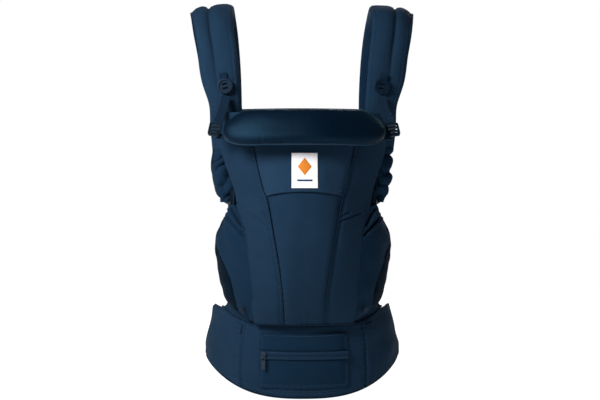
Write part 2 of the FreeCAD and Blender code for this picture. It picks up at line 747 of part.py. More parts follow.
def make_chest_strap():
    female, male = buckle_pair(*CHEST_BUCKLE)
    slider = make_chest_slider()
    face_y = slider.BoundBox.YMax - 1.2
    y = (RAIL_Y + face_y) / 2 - 1.0
    origin = (CHEST_MOUTH_X, y, CHEST_HEIGHT)
    male_end = CHEST_MOUTH_X - BUCKLE_BASE - 0.5
    female_end = CHEST_MOUTH_X + CHEST_BUCKLE[1] + 0.5
    loop_x = slider.BoundBox.XMin - 0.5

    def strip(x_from, x_to):
        stations = []
        for x in spread(x_from, x_to, 4):
            stations.append(((x, y, CHEST_HEIGHT), (0, 0, 1), (0, 1, 0)))
        return ribbon(stations, CHEST_WEBBING)

    return {
        "chest_sliders": Part.makeCompound([slider, mirrored(slider)]),
        "chest_buckle_female": placed(female, origin, (-1, 0, 0), (0, 0, 1)),
        "chest_buckle_male": placed(male, origin, (-1, 0, 0), (0, 0, 1)),
        "chest_webbing_right": strip(female_end, loop_x),
        "chest_webbing_left": strip(-loop_x, male_end),
    }


# ---------------------------------------------------------------- waist closure at the back


def waist_band(low, high, count, away=0.0):
    """Webbing stations along the back of the waist oval between two angles."""
    stations = []
    for angle in spread(low, high, count):
        p = waist_point(angle, LEAN_FROM)
        out = normal_of(level_surface, angle, LEAN_FROM, 0.01, 0.01)
        out.z = 0
        p = p + out.normalize() * away
        stations.append(((p.x, p.y, WAIST_HEIGHT), (0, 0, 1), tuple(out)))
    return stations


def waist_buckle_axes():
    t = math.radians(WAIST_BUCKLE_ANGLE)
    return Vec(WAIST_A * math.cos(t), WAIST_B * math.sin(t), 0).normalize()


def make_waist_closure():
    _, female_long, thick, _ = WAIST_BUCKLE
    female, male = buckle_pair(*WAIST_BUCKLE)
    female = female.cut(cylinder(RELEASE_R + 0.3, 0, thick, RELEASE_AT))
    top = thick / 2
    stem = cylinder(RELEASE_R, top - 2.4, top + 1.6, RELEASE_AT)
    stem = stem.makeFillet(0.8, [e for e in stem.Edges if abs(e.BoundBox.ZMin - top - 1.6) < 1e-6])
    flange = cylinder(RELEASE_R + 1.5, top - 3.6, top - 2.3, RELEASE_AT)
    button = stem.fuse(flange).removeSplitter()
    along = waist_buckle_axes()
    at = waist_point(WAIST_BUCKLE_ANGLE, LEAN_FROM)
    origin = Vec(at.x, at.y, WAIST_HEIGHT) + along * ((female_long - BUCKLE_BASE) / 2)
    across = Vec(0, 0, -1)
    if along.cross(across).dot(Vec(at.x, at.y, 0)) < 0:
        across = across * -1
    out = along.cross(across)
    parts = {
        "waist_buckle_female": placed(female, origin, along, across),
        "waist_buckle_male": placed(male, origin, along, across),
        "waist_release_button": placed(button, origin, along, across),
    }

    def straight(point, way):
        """Two stations that leave the buckle along its own line."""
        return [(tuple(point + way * d), (0, 0, 1), tuple(out)) for d in (WEBBING_END, 5.0)]

    female_end = origin - along * female_long
    male_end = origin + along * BUCKLE_BASE
    right = waist_band(BELT_END + 1.4, BELT_END + 3.4, 2)
    right = right + list(reversed(straight(female_end, along * -1)))
    left = straight(male_end, along)
    around = waist_band(164.0, 360.0 - BELT_END - 1.4, 12)
    parts["waist_webbing_right"] = ribbon(right, WAIST_WEBBING)
    parts["waist_webbing_left"] = ribbon(left + around, WAIST_WEBBING)
    return parts


def make_lumbar_pad():
    """Pad on the inner side of the waist webbing, with two loops round the webbing."""
    arc = math.degrees(LUMBAR_HALF / BACK_RADIUS)

    def back_surface(angle, z):
        t = math.radians(angle)
        return Vec(BACK_RADIUS * math.sin(t), WAIST_B - BACK_RADIUS + BACK_RADIUS * math.cos(t), z)

    half = LUMBAR_TALL / 2
    web = WEBBING_THICK / 2
    pad = layer(
        back_surface, spread(-arc, arc, 7), spread(WAIST_HEIGHT - half, WAIST_HEIGHT + half, 4),
        web + 2.6, web + 2.6 + LUMBAR_THICK,
    )
    loops = []
    for side in (-1, 1):
        middle = side * arc * 0.62
        ring = layer(
            back_surface, spread(middle - 2.0, middle + 2.0, 3),
            spread(WAIST_HEIGHT - WAIST_WEBBING / 2 - 3.5, WAIST_HEIGHT + WAIST_WEBBING / 2 + 3.5, 3),
            -(web + 2.4), web + 2.4,
        )
        space = layer(
            back_surface, spread(middle - 3.0, middle + 3.0, 3),
            spread(WAIST_HEIGHT - WAIST_WEBBING / 2 - 1.5, WAIST_HEIGHT + WAIST_WEBBING / 2 + 1.5, 3),
            -(web + 0.8), web + 0.8,
        )
        loops.append(ring.cut(space))
    return {"lumbar_pad": pad, "lumbar_loops": Part.makeCompound(loops)}


def make_keepers():
    """Elastic loops that hold the spare webbing, one on each shoulder webbing and one at the waist."""
    at, across_side, face_side = shoulder_webbing_route()[2]

    def loop(width, origin, x_axis, y_axis):
        room = width / 2 + 1.0
        half = KEEPER_LONG / 2
        ring = rounded_block((-half, half), (-room - KEEPER_WALL, room + KEEPER_WALL), (-3.0, 3.0), 0.9)
        space = block((-half - 1, half + 1), (-room, room), (-1.8, 1.8))
        return placed(ring.cut(space), origin, x_axis, y_axis)

    side_way = Vec(*across_side).cross(Vec(*face_side))
    side = loop(SHOULDER_WEBBING, at, side_way, across_side)
    station = waist_band(-140.0, -136.0, 3)[1]
    centre, _, face = station
    waist = loop(WAIST_WEBBING, centre, UP.cross(Vec(*face)), UP)
    return Part.makeCompound([side, mirrored(side), waist])


# ---------------------------------------------------------------- all the parts


def make_parts():
    parts = {}
    parts.update(make_belt())
    parts.update(make_zipper_puller())
    parts.update(make_panel())
    parts.update(make_headrest())
    parts["headrest_hinge"] = make_headrest_hinge()
    parts.update(make_chest_strap())
    parts.update(make_waist_closure())
    parts.update(make_lumbar_pad())
    parts["webbing_keepers"] = make_keepers()

    right = {"seat_tab": make_seat_tab()}
    right["wing"], right["leg_padding"] = make_wing()
    right.update(make_strap())
    right["strap_gather"] = make_gather()
    right["ladder_lock"] = placed(make_ladder_lock(), LOCK_AT, LOCK_ALONG, LOCK_ACROSS)
    right["headrest_strap"], right["headrest_anchor"] = make_headrest_loop()
    right["shoulder_webbing"] = ribbon(shoulder_webbing_route(), SHOULDER_WEBBING)
    right["side_buckle_female"], right["side_buckle_male"] = make_side_buckle()
    for name, shape in right.items():
        parts[name + "_right"] = shape
        parts[name + "_left"] = mirrored(shape)

    tab, button = make_button()
    pairs = {
        "wing_snaps": make_snap(),
        "button_tabs": tab,
        "strap_buttons": button,
        "strap_rails": make_rail(),
        "buckle_anchors": make_buckle_anchor(),
    }
    for name, shape in pairs.items():
        parts[name] = Part.makeCompound([shape, mirrored(shape)])
    return parts


def main():
    os.makedirs("parts", exist_ok=True)
    for name, shape in sorted(make_parts().items()):
        if not shape.isValid():
            raise ValueError(name + " is not a valid shape")
        shape.exportStep("parts/" + name + ".step")
        print(name, len(shape.Solids), round(shape.Volume / 1000, 1), "cm3")


main()
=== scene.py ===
import math

import bpy
import numpy as np
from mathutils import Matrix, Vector
from mathutils.bvhtree import BVHTree


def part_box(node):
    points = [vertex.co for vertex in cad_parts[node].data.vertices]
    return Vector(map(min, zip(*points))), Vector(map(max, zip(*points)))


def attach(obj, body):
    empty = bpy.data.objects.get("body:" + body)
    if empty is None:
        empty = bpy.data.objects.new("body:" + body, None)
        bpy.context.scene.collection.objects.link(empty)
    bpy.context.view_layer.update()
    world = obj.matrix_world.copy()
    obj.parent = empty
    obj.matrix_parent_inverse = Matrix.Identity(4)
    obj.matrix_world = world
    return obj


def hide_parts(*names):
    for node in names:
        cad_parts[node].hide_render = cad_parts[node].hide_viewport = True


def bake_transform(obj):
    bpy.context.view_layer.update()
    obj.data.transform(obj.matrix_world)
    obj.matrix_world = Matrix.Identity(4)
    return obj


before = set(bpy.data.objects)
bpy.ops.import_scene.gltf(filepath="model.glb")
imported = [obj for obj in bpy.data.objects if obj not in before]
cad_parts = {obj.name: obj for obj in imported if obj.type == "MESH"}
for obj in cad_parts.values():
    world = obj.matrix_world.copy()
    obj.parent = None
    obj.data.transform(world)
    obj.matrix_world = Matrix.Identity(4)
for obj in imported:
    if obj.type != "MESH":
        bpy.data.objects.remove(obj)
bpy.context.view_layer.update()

# The looks of a soft baby carrier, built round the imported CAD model. Shapes are worked out in
# millimetres and turned into metres when a mesh is made. +Z is up and -Y is the front.
# Every surface is a function place(u, v) whose u x v normal points outwards.

MM = 0.001
GAP = 0.4
SIDES = ((1, "right"), (-1, "left"))
BELT_DEGREE, FLAT_DEGREE = 2.7, 2.6  # millimetres in one degree round the belt, and round pouch and tabs

# ---- sizes shared with the CAD

WAIST_A, WAIST_B = 158.0, 130.0
BELT_LEAN, LEAN_FROM = 0.22, 70.0
BELT_RISE, BELT_END = 51.0, 118.0
BELT_TOP = [(0, 116), (30, 116), (46, 124), (62, 135), (95, 133), (118, 111)]
FOAM_IN, FOAM_OUT = -6.0, 4.4
FACING_IN, FACING_OUT = 7.1, 9.8
LINING_IN, LINING_OUT = -9.2, -6.6
BELT_SEAM = 37.5
POUCH_HALF_ANGLE, POUCH_LOW, POUCH_HIGH, POUCH_THICK = 26.0, 15.0, 103.0, 5.6
ZIP_LOW, ZIP_HIGH = 63.0, 74.0
SEAT_TAB_ANGLES = (34.0, 64.0)
SEAT_TAB_LOW, SEAT_TAB_HIGH = 92.0, 149.0
SEAT_TAB_IN, SEAT_TAB_OUT = 4.0, 7.3
BELT_TAG_ANGLES = (39.4, 45.6)

PANEL = [
    (119, (80, -153, -133)), (150, (86, -172, -142)), (200, (88, -188, -150)),
    (250, (92, -192, -150)), (275, (97, -189, -139)), (300, (108, -184, -118)),
    (333, (114, -175, -107)), (370, (127, -166, -99)), (404, (138, -157, -95)),
    (435, (136, -149, -103)), (462, (130, -142, -112)),
]  # height, (half width, depth at the centre, depth at the edge)
SEAM = [(119, 33.5), (172, 36), (200, 39), (230, 43.5), (261, 49), (300, 56), (322, 60.5), (335, 66),
        (354, 71), (386, 78), (462, 92)]
PANEL_LOW, PANEL_HIGH = 119.0, 462.0
YOKE_MIDDLE, YOKE_CORNER = 331.5, 325.0  # height of the yoke's lower edge
CROWN_POWER = 2.2
PANEL_THICK = 3.0
LINER_IN, LINER_OUT, LINER_SHARE = -8.4, -6.9, 0.94
FOOT_TOP, FOOT_SHARE = 126.0, 0.97
LABEL_WIDE, LABEL_LOW, LABEL_HIGH = 41.0, 337.3, 393.6

WING = [
    ((83, -131, 122), (117, -100, 141)), ((87, -143, 158), (131, -88, 158)),
    ((88, -149, 185), (139.5, -79, 185)), ((91.5, -151, 225), (146, -72, 225)),
    ((93.5, -150, 249), (147, -71, 249)), ((97.5, -141, 266), (142, -76, 268)),
    ((102.5, -130, 283), (133, -84, 284)), ((109.5, -117, 298), (125, -93, 298)),
    ((112, -112, 311), (121, -100, 311)),
]  # seam point, outer point
WING_BULGE, WING_THICK = 11.0, 9.0
WING_COTTON = [(139, 0.62), (150, 0.52), (173, 0.47), (197, 0.51), (212, 0.6), (226, 0.7), (249, 0.88),
               (298, 0.97)]  # height, share of the wing's width that the outer cotton covers
WING_TUCK = 8.0  # how far the cotton runs in under the panel
WING_LAP = 0.07  # share of the wing's width by which the padding runs in under the cotton
PLEATS = [[(118, 304), (109, 292), (100, 277)], [(126, 291), (113, 279), (97, 263)]]
CREASES = {
    1: [[(54, 284), (72, 291), (91, 298)], [(58, 293), (72, 300)]],
    -1: [[(53, 284), (74, 290), (92, 298)], [(56, 292), (66, 299)], [(57, 279), (68, 285)]],
}  # sewn folds that run out from the long seam, as (distance from the middle, height)

HEADREST_HALF = 131.0
HEADREST_TOP, HEADREST_LOW = (-153.0, 466.0), (-188.0, 401.0)
HEADREST_SWEEP, HEADREST_THICK = 27.0, 13.5
HEADREST_TAPER = [(0, 1.0), (70, 1.0), (98, 0.95), (114, 0.8), (124, 0.58), (131, 0.2)]

STRAP = [
    ((125, -82, 402), 52, (1, 0.12, 0)), ((127, -85, 440), 55, (1, 0.12, 0)),
    ((129.5, -87, 480), 54, (1, 0.1, 0)), ((138, -84, 524), 64, (1, 0.08, 0)),
    ((144, -74, 566), 66, (1, 0.05, 0)), ((151, -58, 604), 68, (1, 0, -0.04)),
    ((155, -30, 636), 73, (1, 0, -0.09)), ((157, 5, 649.5), 77, (1, 0, -0.11)),
    ((155, 42, 639), 76, (1, 0, -0.09)), ((150, 73, 609), 73, (1, 0, -0.04)),
    ((143, 95, 566), 65, (1, 0, 0)), ((138, 105, 524), 58, (1, 0, 0)),
    ((135, 107, 480), 53, (1, 0, 0)), ((134, 106, 440), 50, (1, -0.02, 0)),
    ((138, 100, 408), 48, (1, -0.15, 0.1)), ((144, 84, 379), 46, (0.8, -0.4, 0.5)),
    ((146, 58, 356), 44, (0.3, -0.4, 0.9)), ((143, 32, 342), 42, (0.0, -0.3, 1)),
]  # centre, width, direction across
STRAP_CENTRE_HALF, STRAP_EDGE_HALF = 11.0, 5.0
GATHER = [
    (408, (126, -83, 22, 8)), (399, (127, -84, 22, 8.5)), (375, (131.5, -85, 17.5, 9.5)),
    (350, (130.5, -84, 17.5, 10.5)), (340, (128.5, -84, 17.5, 9)), (331, (128.5, -84, 13.5, 7.9)),
    (322, (129, -85, 9, 6)), (316, (130.5, -86, 6.5, 5.4)),
]  # height, (centre x, centre y, half width, half thickness)

WEBBING_THICK = 1.8
SHOULDER_WEBBING, WAIST_WEBBING, HEADREST_WEBBING = 25.0, 38.0, 15.0
LOOP_TOP = (127.5, -106.0, 490.0)
LOCK_AT = (143.5, -136.0, 433.0)
LOOP_LOW = (129.6, -140.4, 420.5)
SIDE_BUCKLE_AT, SIDE_BUCKLE_TURN = (117.0, -84.0, 322.0), 82.0
WAIST_BUCKLE_ANGLE, WAIST_HEIGHT = 139.0, 89.0
WAIST_SOCKET, WAIST_PLUG = 40.0, 17.5  # how far the buckle's halves reach from its origin
LUMBAR_HALF, LUMBAR_TALL, LUMBAR_THICK = 40.0, 84.0, 12.0
BACK_RADIUS = WAIST_A * WAIST_A / WAIST_B


# ---- curves and surfaces


def vec(*parts):
    return np.array(parts, float)


def unit(v):
    return v / np.linalg.norm(v, axis=-1, keepdims=True)


def table(t, rows):
    """Value at t, an array, of a smooth curve through the rows (t, number or point)."""
    xs = np.array([row[0] for row in rows], float)
    ys = np.array([row[1] for row in rows], float)
    wide = ys.ndim == 2
    if not wide:
        ys = ys[:, None]
    last = len(rows) - 1
    slopes = np.array([
        (ys[min(k + 1, last)] - ys[max(k - 1, 0)]) / (xs[min(k + 1, last)] - xs[max(k - 1, 0)])
        for k in range(last + 1)
    ])
    t = np.clip(np.asarray(t, float), xs[0], xs[-1])
    i = np.clip(np.searchsorted(xs, t, "right") - 1, 0, last - 1)
    h = (xs[i + 1] - xs[i])[..., None]
    s = (t - xs[i])[..., None] / h
    value = (
        ys[i] * (1 + 2 * s) * (1 - s) ** 2 + ys[i + 1] * s * s * (3 - 2 * s)
        + h * slopes[i] * s * (1 - s) ** 2 - h * slopes[i + 1] * s * s * (1 - s)
    )
    return value if wide else value[..., 0]


def numbered(values):
    """Rows for table() with 0, 1, 2 and so on as their t."""
    return list(enumerate(values))


def smooth(t):
    t = np.clip(t, 0.0, 1.0)
    return t * t * (3 - 2 * t)


def paired(u, v):
    return np.broadcast_arrays(np.asarray(u, float), np.asarray(v, float))


def round_angles(count):
    return np.linspace(0, 2 * math.pi, count, endpoint=False)


def point(x, y, z):
    return np.stack(np.broadcast_arrays(x, y, z), axis=-1).astype(float)


def level_surface(angle, z):
    """The waist oval at a height, angle in degrees from the front towards +X."""
    angle, z = paired(angle, z)
    a = WAIST_A - BELT_LEAN * np.maximum(z - LEAN_FROM, 0.0)
    t = np.radians(angle)
    return point(a * np.sin(t), -WAIST_B * np.cos(t), z)


def belt_low(angle):
    side = np.abs(np.sin(np.radians(angle))) ** 3 * BELT_RISE
    past = (np.abs(angle) - 90.0) / (BELT_END - 90.0)
    return np.where(past <= 0, side, BELT_RISE + 15.0 * smooth(past))


def belt_surface(angle, v):
    """v runs from 0 at the belt's lower edge to 1 at its upper edge."""
    return level_surface(angle, belt_low(angle) * (1 - v) + table(np.abs(angle), BELT_TOP) * v)


def panel_at(x, z):
    half, middle, edge = np.moveaxis(table(z, PANEL), -1, 0)
    u = np.abs(x / half)
    return point(x, middle + (edge - middle) * u ** CROWN_POWER, z)


def panel_half(z):
    return table(z, PANEL)[..., 0]


def yoke_low(t):
    """Height of the yoke's curved lower edge, t from -1 to 1 between the long seams."""
    return YOKE_MIDDLE + (YOKE_CORNER - YOKE_MIDDLE) * np.abs(t) ** 2


def wing_surface(u, v):
    """u runs from 0 at the seam to 1 at the outer edge, v from 0 at the bottom to 1 at the top."""
    u, v = paired(u, v)
    k = v * (len(WING) - 1)
    inner = table(k, numbered([row[0] for row in WING]))
    outer = table(k, numbered([row[1] for row in WING]))
    out = unit(np.cross(outer - inner, vec(0, 0, 1)))
    swell = WING_BULGE * 4 * u * (1 - u) * np.sqrt(np.sin(np.pi * np.clip(v, 0.0, 1.0)))
    return inner + (outer - inner) * u[..., None] + out * swell[..., None]


def strap_frame(v):
    """Centre, direction across, outward direction and width of the right strap."""
    k = np.asarray(v, float) * (len(STRAP) - 1)
    centres = numbered([row[0] for row in STRAP])
    step = 0.02
    along = unit(table(k + step, centres) - table(k - step, centres))
    across = table(k, numbered([row[2] for row in STRAP]))
    across = unit(across - along * np.sum(across * along, -1, keepdims=True))
    return table(k, centres), across, unit(np.cross(across, along)), table(k, numbered([r[1] for r in STRAP]))


def strap_surface(u, v):
    """The middle of the right shoulder strap, u from -0.5 to 0.5 across it."""
    u, v = paired(u, v)
    centre, across, _, width = strap_frame(v)
    return centre + across * (u * width)[..., None]


def strap_half(u):
    return STRAP_EDGE_HALF + (STRAP_CENTRE_HALF - STRAP_EDGE_HALF) * (1 - np.abs(2 * u) ** 3)


def sided(place, side):
    """The same surface for the right (side 1) or the left (side -1), where u is negative."""
    def at(u, v):
        return place(side * u, v) * vec(side, 1, 1)
    return at


def sided_range(side, low, high):
    return (low, high) if side > 0 else (-high, -low)


def along_stations(stations):
    """Surface of flat webbing through (centre, across, face) stations; u is in millimetres."""
    rows = [numbered([s[i] for s in stations]) for i in range(3)]
    last = len(stations) - 1

    def place(u, v):
        u, v = paired(u, v)
        k = v * last
        return table(k, rows[0]) + unit(table(k, rows[1])) * u[..., None]
    return place


# ---- relief of cloth


def ripple(a, b, seed, length, height):
    """Soft folds: seven sine waves of about that length in seeded directions."""
    rng = np.random.default_rng(seed)
    total = 0.0
    for _ in range(7):
        turn = rng.uniform(0, math.pi)
        wave = length * rng.uniform(0.7, 1.7)
        total = total + np.sin(
            2 * math.pi * (a * math.cos(turn) + b * math.sin(turn)) / wave + rng.uniform(0, 2 * math.pi)
        )
    return total * height / 2.6


def pucker(distance, along, seed, height=0.45, reach=7.0):
    """Short gathers that fade away from a seam."""
    wave = np.sin(2 * math.pi * along / 8.5 + ripple(along, distance, seed, 30.0, 1.5))
    return height * np.exp(-np.abs(distance) / reach) * wave


def groove(distance, depth, width):
    return -depth * np.exp(-((distance / width) ** 2))


def to_line(a, b, path):
    """Distance from (a, b) to a polyline."""
    best = None
    for (a0, b0), (a1, b1) in zip(path[:-1], path[1:]):
        da, db = a1 - a0, b1 - b0
        t = np.clip(((a - a0) * da + (b - b0) * db) / (da * da + db * db), 0, 1)
        d = np.hypot(a - a0 - t * da, b - b0 - t * db)
        best = d if best is None else np.minimum(best, d)
    return best


# ---- meshes


def linked(name, data):
    obj = bpy.data.objects.new(name, data)
    bpy.context.scene.collection.objects.link(obj)
    return obj


def make_object(name, verts, faces, uvs, materials, face_material=None):
    mesh = bpy.data.meshes.new(name)
    mesh.from_pydata((np.asarray(verts) * MM).tolist(), [], faces)
    layer = mesh.uv_layers.new(name="weave")
    index = np.zeros(len(mesh.loops), int)
    mesh.loops.foreach_get("vertex_index", index)
    layer.data.foreach_set("uv", (np.asarray(uvs)[index] * MM).ravel())
    for material in materials:
        mesh.materials.append(material)
    if face_material is not None:
        mesh.polygons.foreach_set("material_index", face_material)
    mesh.shade_smooth()
    mesh.update()
    return linked(name, mesh)


def finished(obj, body, slot, replaced=()):
    """Rides obj on its body and hides the CAD nodes it stands for. slot is not used."""
    if body:
        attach(obj, body)
    if replaced:
        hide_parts(*replaced)
    return obj


def measured(value, u, v):
    return value(u, v) if callable(value) else np.full(u.shape, float(value))


def surface_normal(place, u, v, du, dv):
    return unit(np.cross(place(u + du, v) - place(u - du, v), place(u, v + dv) - place(u, v - dv)))


def steps(low, high, length, pitch, rim):
    """Values from low to high, closer together within the rim's width of each end."""
    count = max(int(length / pitch), 4)
    values = list(np.linspace(low, high, count + 1))
    for share in (0.04, 0.16, 0.36, 0.65, 1.0):
        inset = min(rim * share / length, 0.45) * (high - low)
        values += [low + inset, high - inset]
    values = np.array(sorted(values))
    keep = np.concatenate([[True], np.diff(values) > abs(high - low) * rim * 0.02 / length])
    values = values[keep]
    values[-1] = high
    return values


def path_length(points):
    return float(np.sum(np.linalg.norm(np.diff(points, axis=0), axis=1)))


def shell(name, place, u_range, v_range, outer, inner, materials, rim=2.0, pitch=2.4):
    """Closed layer of cloth or padding between two distances from place(u, v), with round edges.

    The first material covers the outer side, the second, where there is one, the inner side."""
    (u0, u1), (v0, v1) = u_range, v_range
    middle_u, middle_v = np.full(80, (u0 + u1) / 2), np.full(80, (v0 + v1) / 2)
    us = steps(u0, u1, path_length(place(np.linspace(u0, u1, 80), middle_v)), pitch, rim)
    vs = steps(v0, v1, path_length(place(middle_u, np.linspace(v0, v1, 80))), pitch, rim)
    u, v = np.meshgrid(us, vs)
    base = place(u, v)
    normal = surface_normal(place, u, v, (u1 - u0) * 1e-4, (v1 - v0) * 1e-4)
    across = np.linalg.norm(np.diff(base, axis=1), axis=2).cumsum(axis=1)
    across = np.concatenate([np.zeros((len(vs), 1)), across], axis=1)
    up = np.linalg.norm(np.diff(base, axis=0), axis=2).cumsum(axis=0)
    up = np.concatenate([np.zeros((1, len(us))), up], axis=0)
    edge = np.minimum(
        np.minimum(across, across[:, -1:] - across), np.minimum(up, up[-1:, :] - up)
    )
    round_off = np.sqrt(1 - (1 - np.clip(edge / rim, 0, 1)) ** 2)
    high, low = measured(outer, u, v), measured(inner, u, v)
    high = np.maximum(high, low + 0.5)
    middle, half = (high + low) / 2, (high - low) / 2 * round_off
    front = base + normal * (middle + half)[..., None]
    back = base + normal * (middle - half)[..., None]
    rows, cols = u.shape
    front_at = np.arange(rows * cols).reshape(rows, cols)
    back_at = front_at.copy()
    back_at[1:-1, 1:-1] = rows * cols + np.arange((rows - 2) * (cols - 2)).reshape(rows - 2, cols - 2)
    verts = np.concatenate([front.reshape(-1, 3), back[1:-1, 1:-1].reshape(-1, 3)])
    middle_across = across - across[:, cols // 2][:, None]
    flat = np.stack([middle_across, up], axis=-1)
    uvs = np.concatenate([flat.reshape(-1, 2), flat[1:-1, 1:-1].reshape(-1, 2)])

    def quads(at, reverse):
        corners = [at[:-1, :-1], at[:-1, 1:], at[1:, 1:], at[1:, :-1]]
        if reverse:
            corners.reverse()
        return np.stack(corners, axis=-1).reshape(-1, 4)

    faces = np.concatenate([quads(front_at, False), quads(back_at, True)])
    kinds = np.repeat([0, len(materials) - 1], len(faces) // 2)
    return make_object(name, verts, faces.tolist(), uvs, materials, kinds)


def frames_along(points, closed=False):
    """Unit vectors across a path, carried along it without twist."""
    if closed:
        tangents = unit(np.roll(points, -1, 0) - np.roll(points, 1, 0))
    else:
        tangents = unit(np.gradient(points, axis=0))
    start = np.cross(tangents[0], vec(0, 0, 1))
    if np.linalg.norm(start) < 0.2:
        start = np.cross(tangents[0], vec(0, 1, 0))
    sides = [unit(start)]
    for t in tangents[1:]:
        side = sides[-1] - t * np.dot(sides[-1], t)
        sides.append(unit(side))
    sides = np.array(sides)
    return sides, np.cross(tangents, sides)


def distances(points):
    """Distance of each point from the first, along the path."""
    return np.concatenate([[0], np.linalg.norm(np.diff(points, axis=0), axis=1).cumsum()])


def resampled(points, pitch):
    points = np.asarray(points, float)
    at = distances(points)
    count = max(int(at[-1] / pitch), 2)
    places = np.linspace(0, at[-1], count + 1)
    return np.stack([np.interp(places, at, points[:, i]) for i in range(3)], axis=1)


def tube(name, points, radius, material, pitch=2.5, closed=False, sides=8):
    """Round piping along a path."""
    points = resampled(points, pitch)
    if closed:
        points = points[:-1]
    one, two = frames_along(points, closed)
    turn = round_angles(sides)
    ring = (
        one[:, None, :] * np.cos(turn)[None, :, None] + two[:, None, :] * np.sin(turn)[None, :, None]
    ) * radius
    if not closed:
        ring[0] *= 0.3
        ring[-1] *= 0.3
    verts = (points[:, None, :] + ring).reshape(-1, 3)
    count = len(points)
    at = np.arange(count * sides).reshape(count, sides)
    faces = []
    for i in range(count if closed else count - 1):
        for j in range(sides):
            a, b = at[i], at[(i + 1) % count]
            faces.append((a[j], b[j], b[(j + 1) % sides], a[(j + 1) % sides]))
    if not closed:
        faces.append(tuple(at[0]))
        faces.append(tuple(at[-1][::-1]))
    faces = [tuple(int(k) for k in face) for face in faces]
    along = np.repeat(np.arange(count) * pitch, sides)
    around = np.tile(turn * radius, count)
    return make_object(name, verts, faces, np.stack([around, along], axis=1), [material])


# ---- stitching

STITCH_LONG, STITCH_PITCH, STITCH_R = 2.5, 3.7, 0.33
sewn = {}  # body: list of stitch ends and normals


def stitch(body, points, normals, lift=0.12):
    """A row of stitches along a path that lies on the cloth."""
    points = np.asarray(points, float)
    at = distances(points)
    starts = np.arange(STITCH_PITCH / 2, at[-1] - STITCH_LONG, STITCH_PITCH)
    for s in starts:
        ends = []
        for d in (s, s + STITCH_LONG):
            p = vec(*[np.interp(d, at, points[:, i]) for i in range(3)])
            n = vec(*[np.interp(d, at, np.asarray(normals)[:, i]) for i in range(3)])
            ends.append(p + unit(n) * lift)
        sewn.setdefault(body, []).append((ends[0], ends[1], unit(n)))


def stitch_on(body, place, outer, path, count=120):
    """Stitches along a path of (u, v) points on the outer side of a shell."""
    path = np.asarray(path, float)
    share = distances(path)
    t = np.linspace(0, share[-1], count * (len(path) - 1) + 1)
    u, v = np.interp(t, share, path[:, 0]), np.interp(t, share, path[:, 1])
    span_u, span_v = np.ptp(path[:, 0]) + 1e-3, np.ptp(path[:, 1]) + 1e-3
    size = max(span_u, span_v) * 1e-3
    normal = surface_normal(place, u, v, min(size, 0.01), min(size, 0.01))
    points = place(u, v) + normal * measured(outer, u, v)[:, None]
    stitch(body, points, normal)


def sew(material):
    """One mesh of stitches for each body."""
    for body, rows in sewn.items():
        verts, faces = [], []
        for start, end, normal in rows:
            along = unit(end - start)
            side = unit(np.cross(along, normal))
            base = len(verts)
            for share, size in ((0.0, 0.35), (0.25, 1.0), (0.75, 1.0), (1.0, 0.35)):
                centre = start + (end - start) * share
                for a, b in ((1, 0), (0, 1), (-1, 0), (0, -1)):
                    verts.append(centre + (side * a + normal * b * 0.8) * STITCH_R * size)
            for ring in range(3):
                for k in range(4):
                    low, high = base + ring * 4, base + ring * 4 + 4
                    faces.append((low + k, low + (k + 1) % 4, high + (k + 1) % 4, high + k))
            faces.append((base + 3, base + 2, base + 1, base))
            faces.append((base + 12, base + 13, base + 14, base + 15))
        flat = np.asarray(verts)[:, [0, 2]]
        finished(make_object("stitching_" + body, verts, faces, flat, [material]), body, "webbing")


# ---- materials


class Graph:
    """A material's node tree, with short ways to add nodes."""

    def __init__(self, name):
        self.material = bpy.data.materials.new(name)
        self.material.use_nodes = True
        self.tree = self.material.node_tree
        self.shader = self.tree.nodes["Principled BSDF"]

    def add(self, kind, inputs=(), **settings):
        node = self.tree.nodes.new(kind)
        for key, value in settings.items():
            setattr(node, key, value)
        for key, value in dict(inputs).items():
            self.feed(node.inputs[key], value)
        return node

    def feed(self, socket, value):
        if isinstance(value, bpy.types.NodeSocket):
            self.tree.links.new(value, socket)
        else:
            socket.default_value = value

    def math(self, operation, a, b=0.0):
        return self.add("ShaderNodeMath", {0: a, 1: b}, operation=operation).outputs[0]

    def sine(self, value, pitch, shift=0.0):
        """A wave from 0 to 1 that repeats every pitch metres."""
        turned = self.math("ADD", self.math("MULTIPLY", value, 2 * math.pi / pitch), shift)
        return self.math("ADD", self.math("MULTIPLY", self.math("SINE", turned), 0.5), 0.5)

    def noise(self, vector, scale, detail=3.0):
        inputs = {"Vector": vector, "Scale": scale, "Detail": detail, "Roughness": 0.6}
        return self.add("ShaderNodeTexNoise", inputs).outputs["Fac"]

    def in_space(self):
        return self.add("ShaderNodeTexCoord").outputs["Object"]

    def spread(self, value, low, high):
        """The value from 0 to 1 moved to the range from low to high."""
        inputs = {"Value": value, "To Min": low, "To Max": high}
        return self.add("ShaderNodeMapRange", inputs).outputs["Result"]

    def ramp(self, value, low, high):
        inputs = {"Value": value, "From Min": low, "From Max": high}
        return self.add("ShaderNodeMapRange", inputs).outputs["Result"]

    def blend(self, factor, first, second):
        node = self.add("ShaderNodeMix", {0: factor, 6: first, 7: second}, data_type="RGBA")
        return node.outputs[2]

    def bump(self, height, strength, distance, normal=None):
        inputs = {"Height": height, "Strength": strength, "Distance": distance}
        if normal is not None:
            inputs["Normal"] = normal
        return self.add("ShaderNodeBump", inputs).outputs["Normal"]

    def surface(self, **inputs):
        for key, value in inputs.items():
            self.feed(self.shader.inputs[key.replace("_", " ")], value)
        return self.material


def colour(r, g, b, share=1.0):
    return (r * share, g * share, b * share, 1.0)


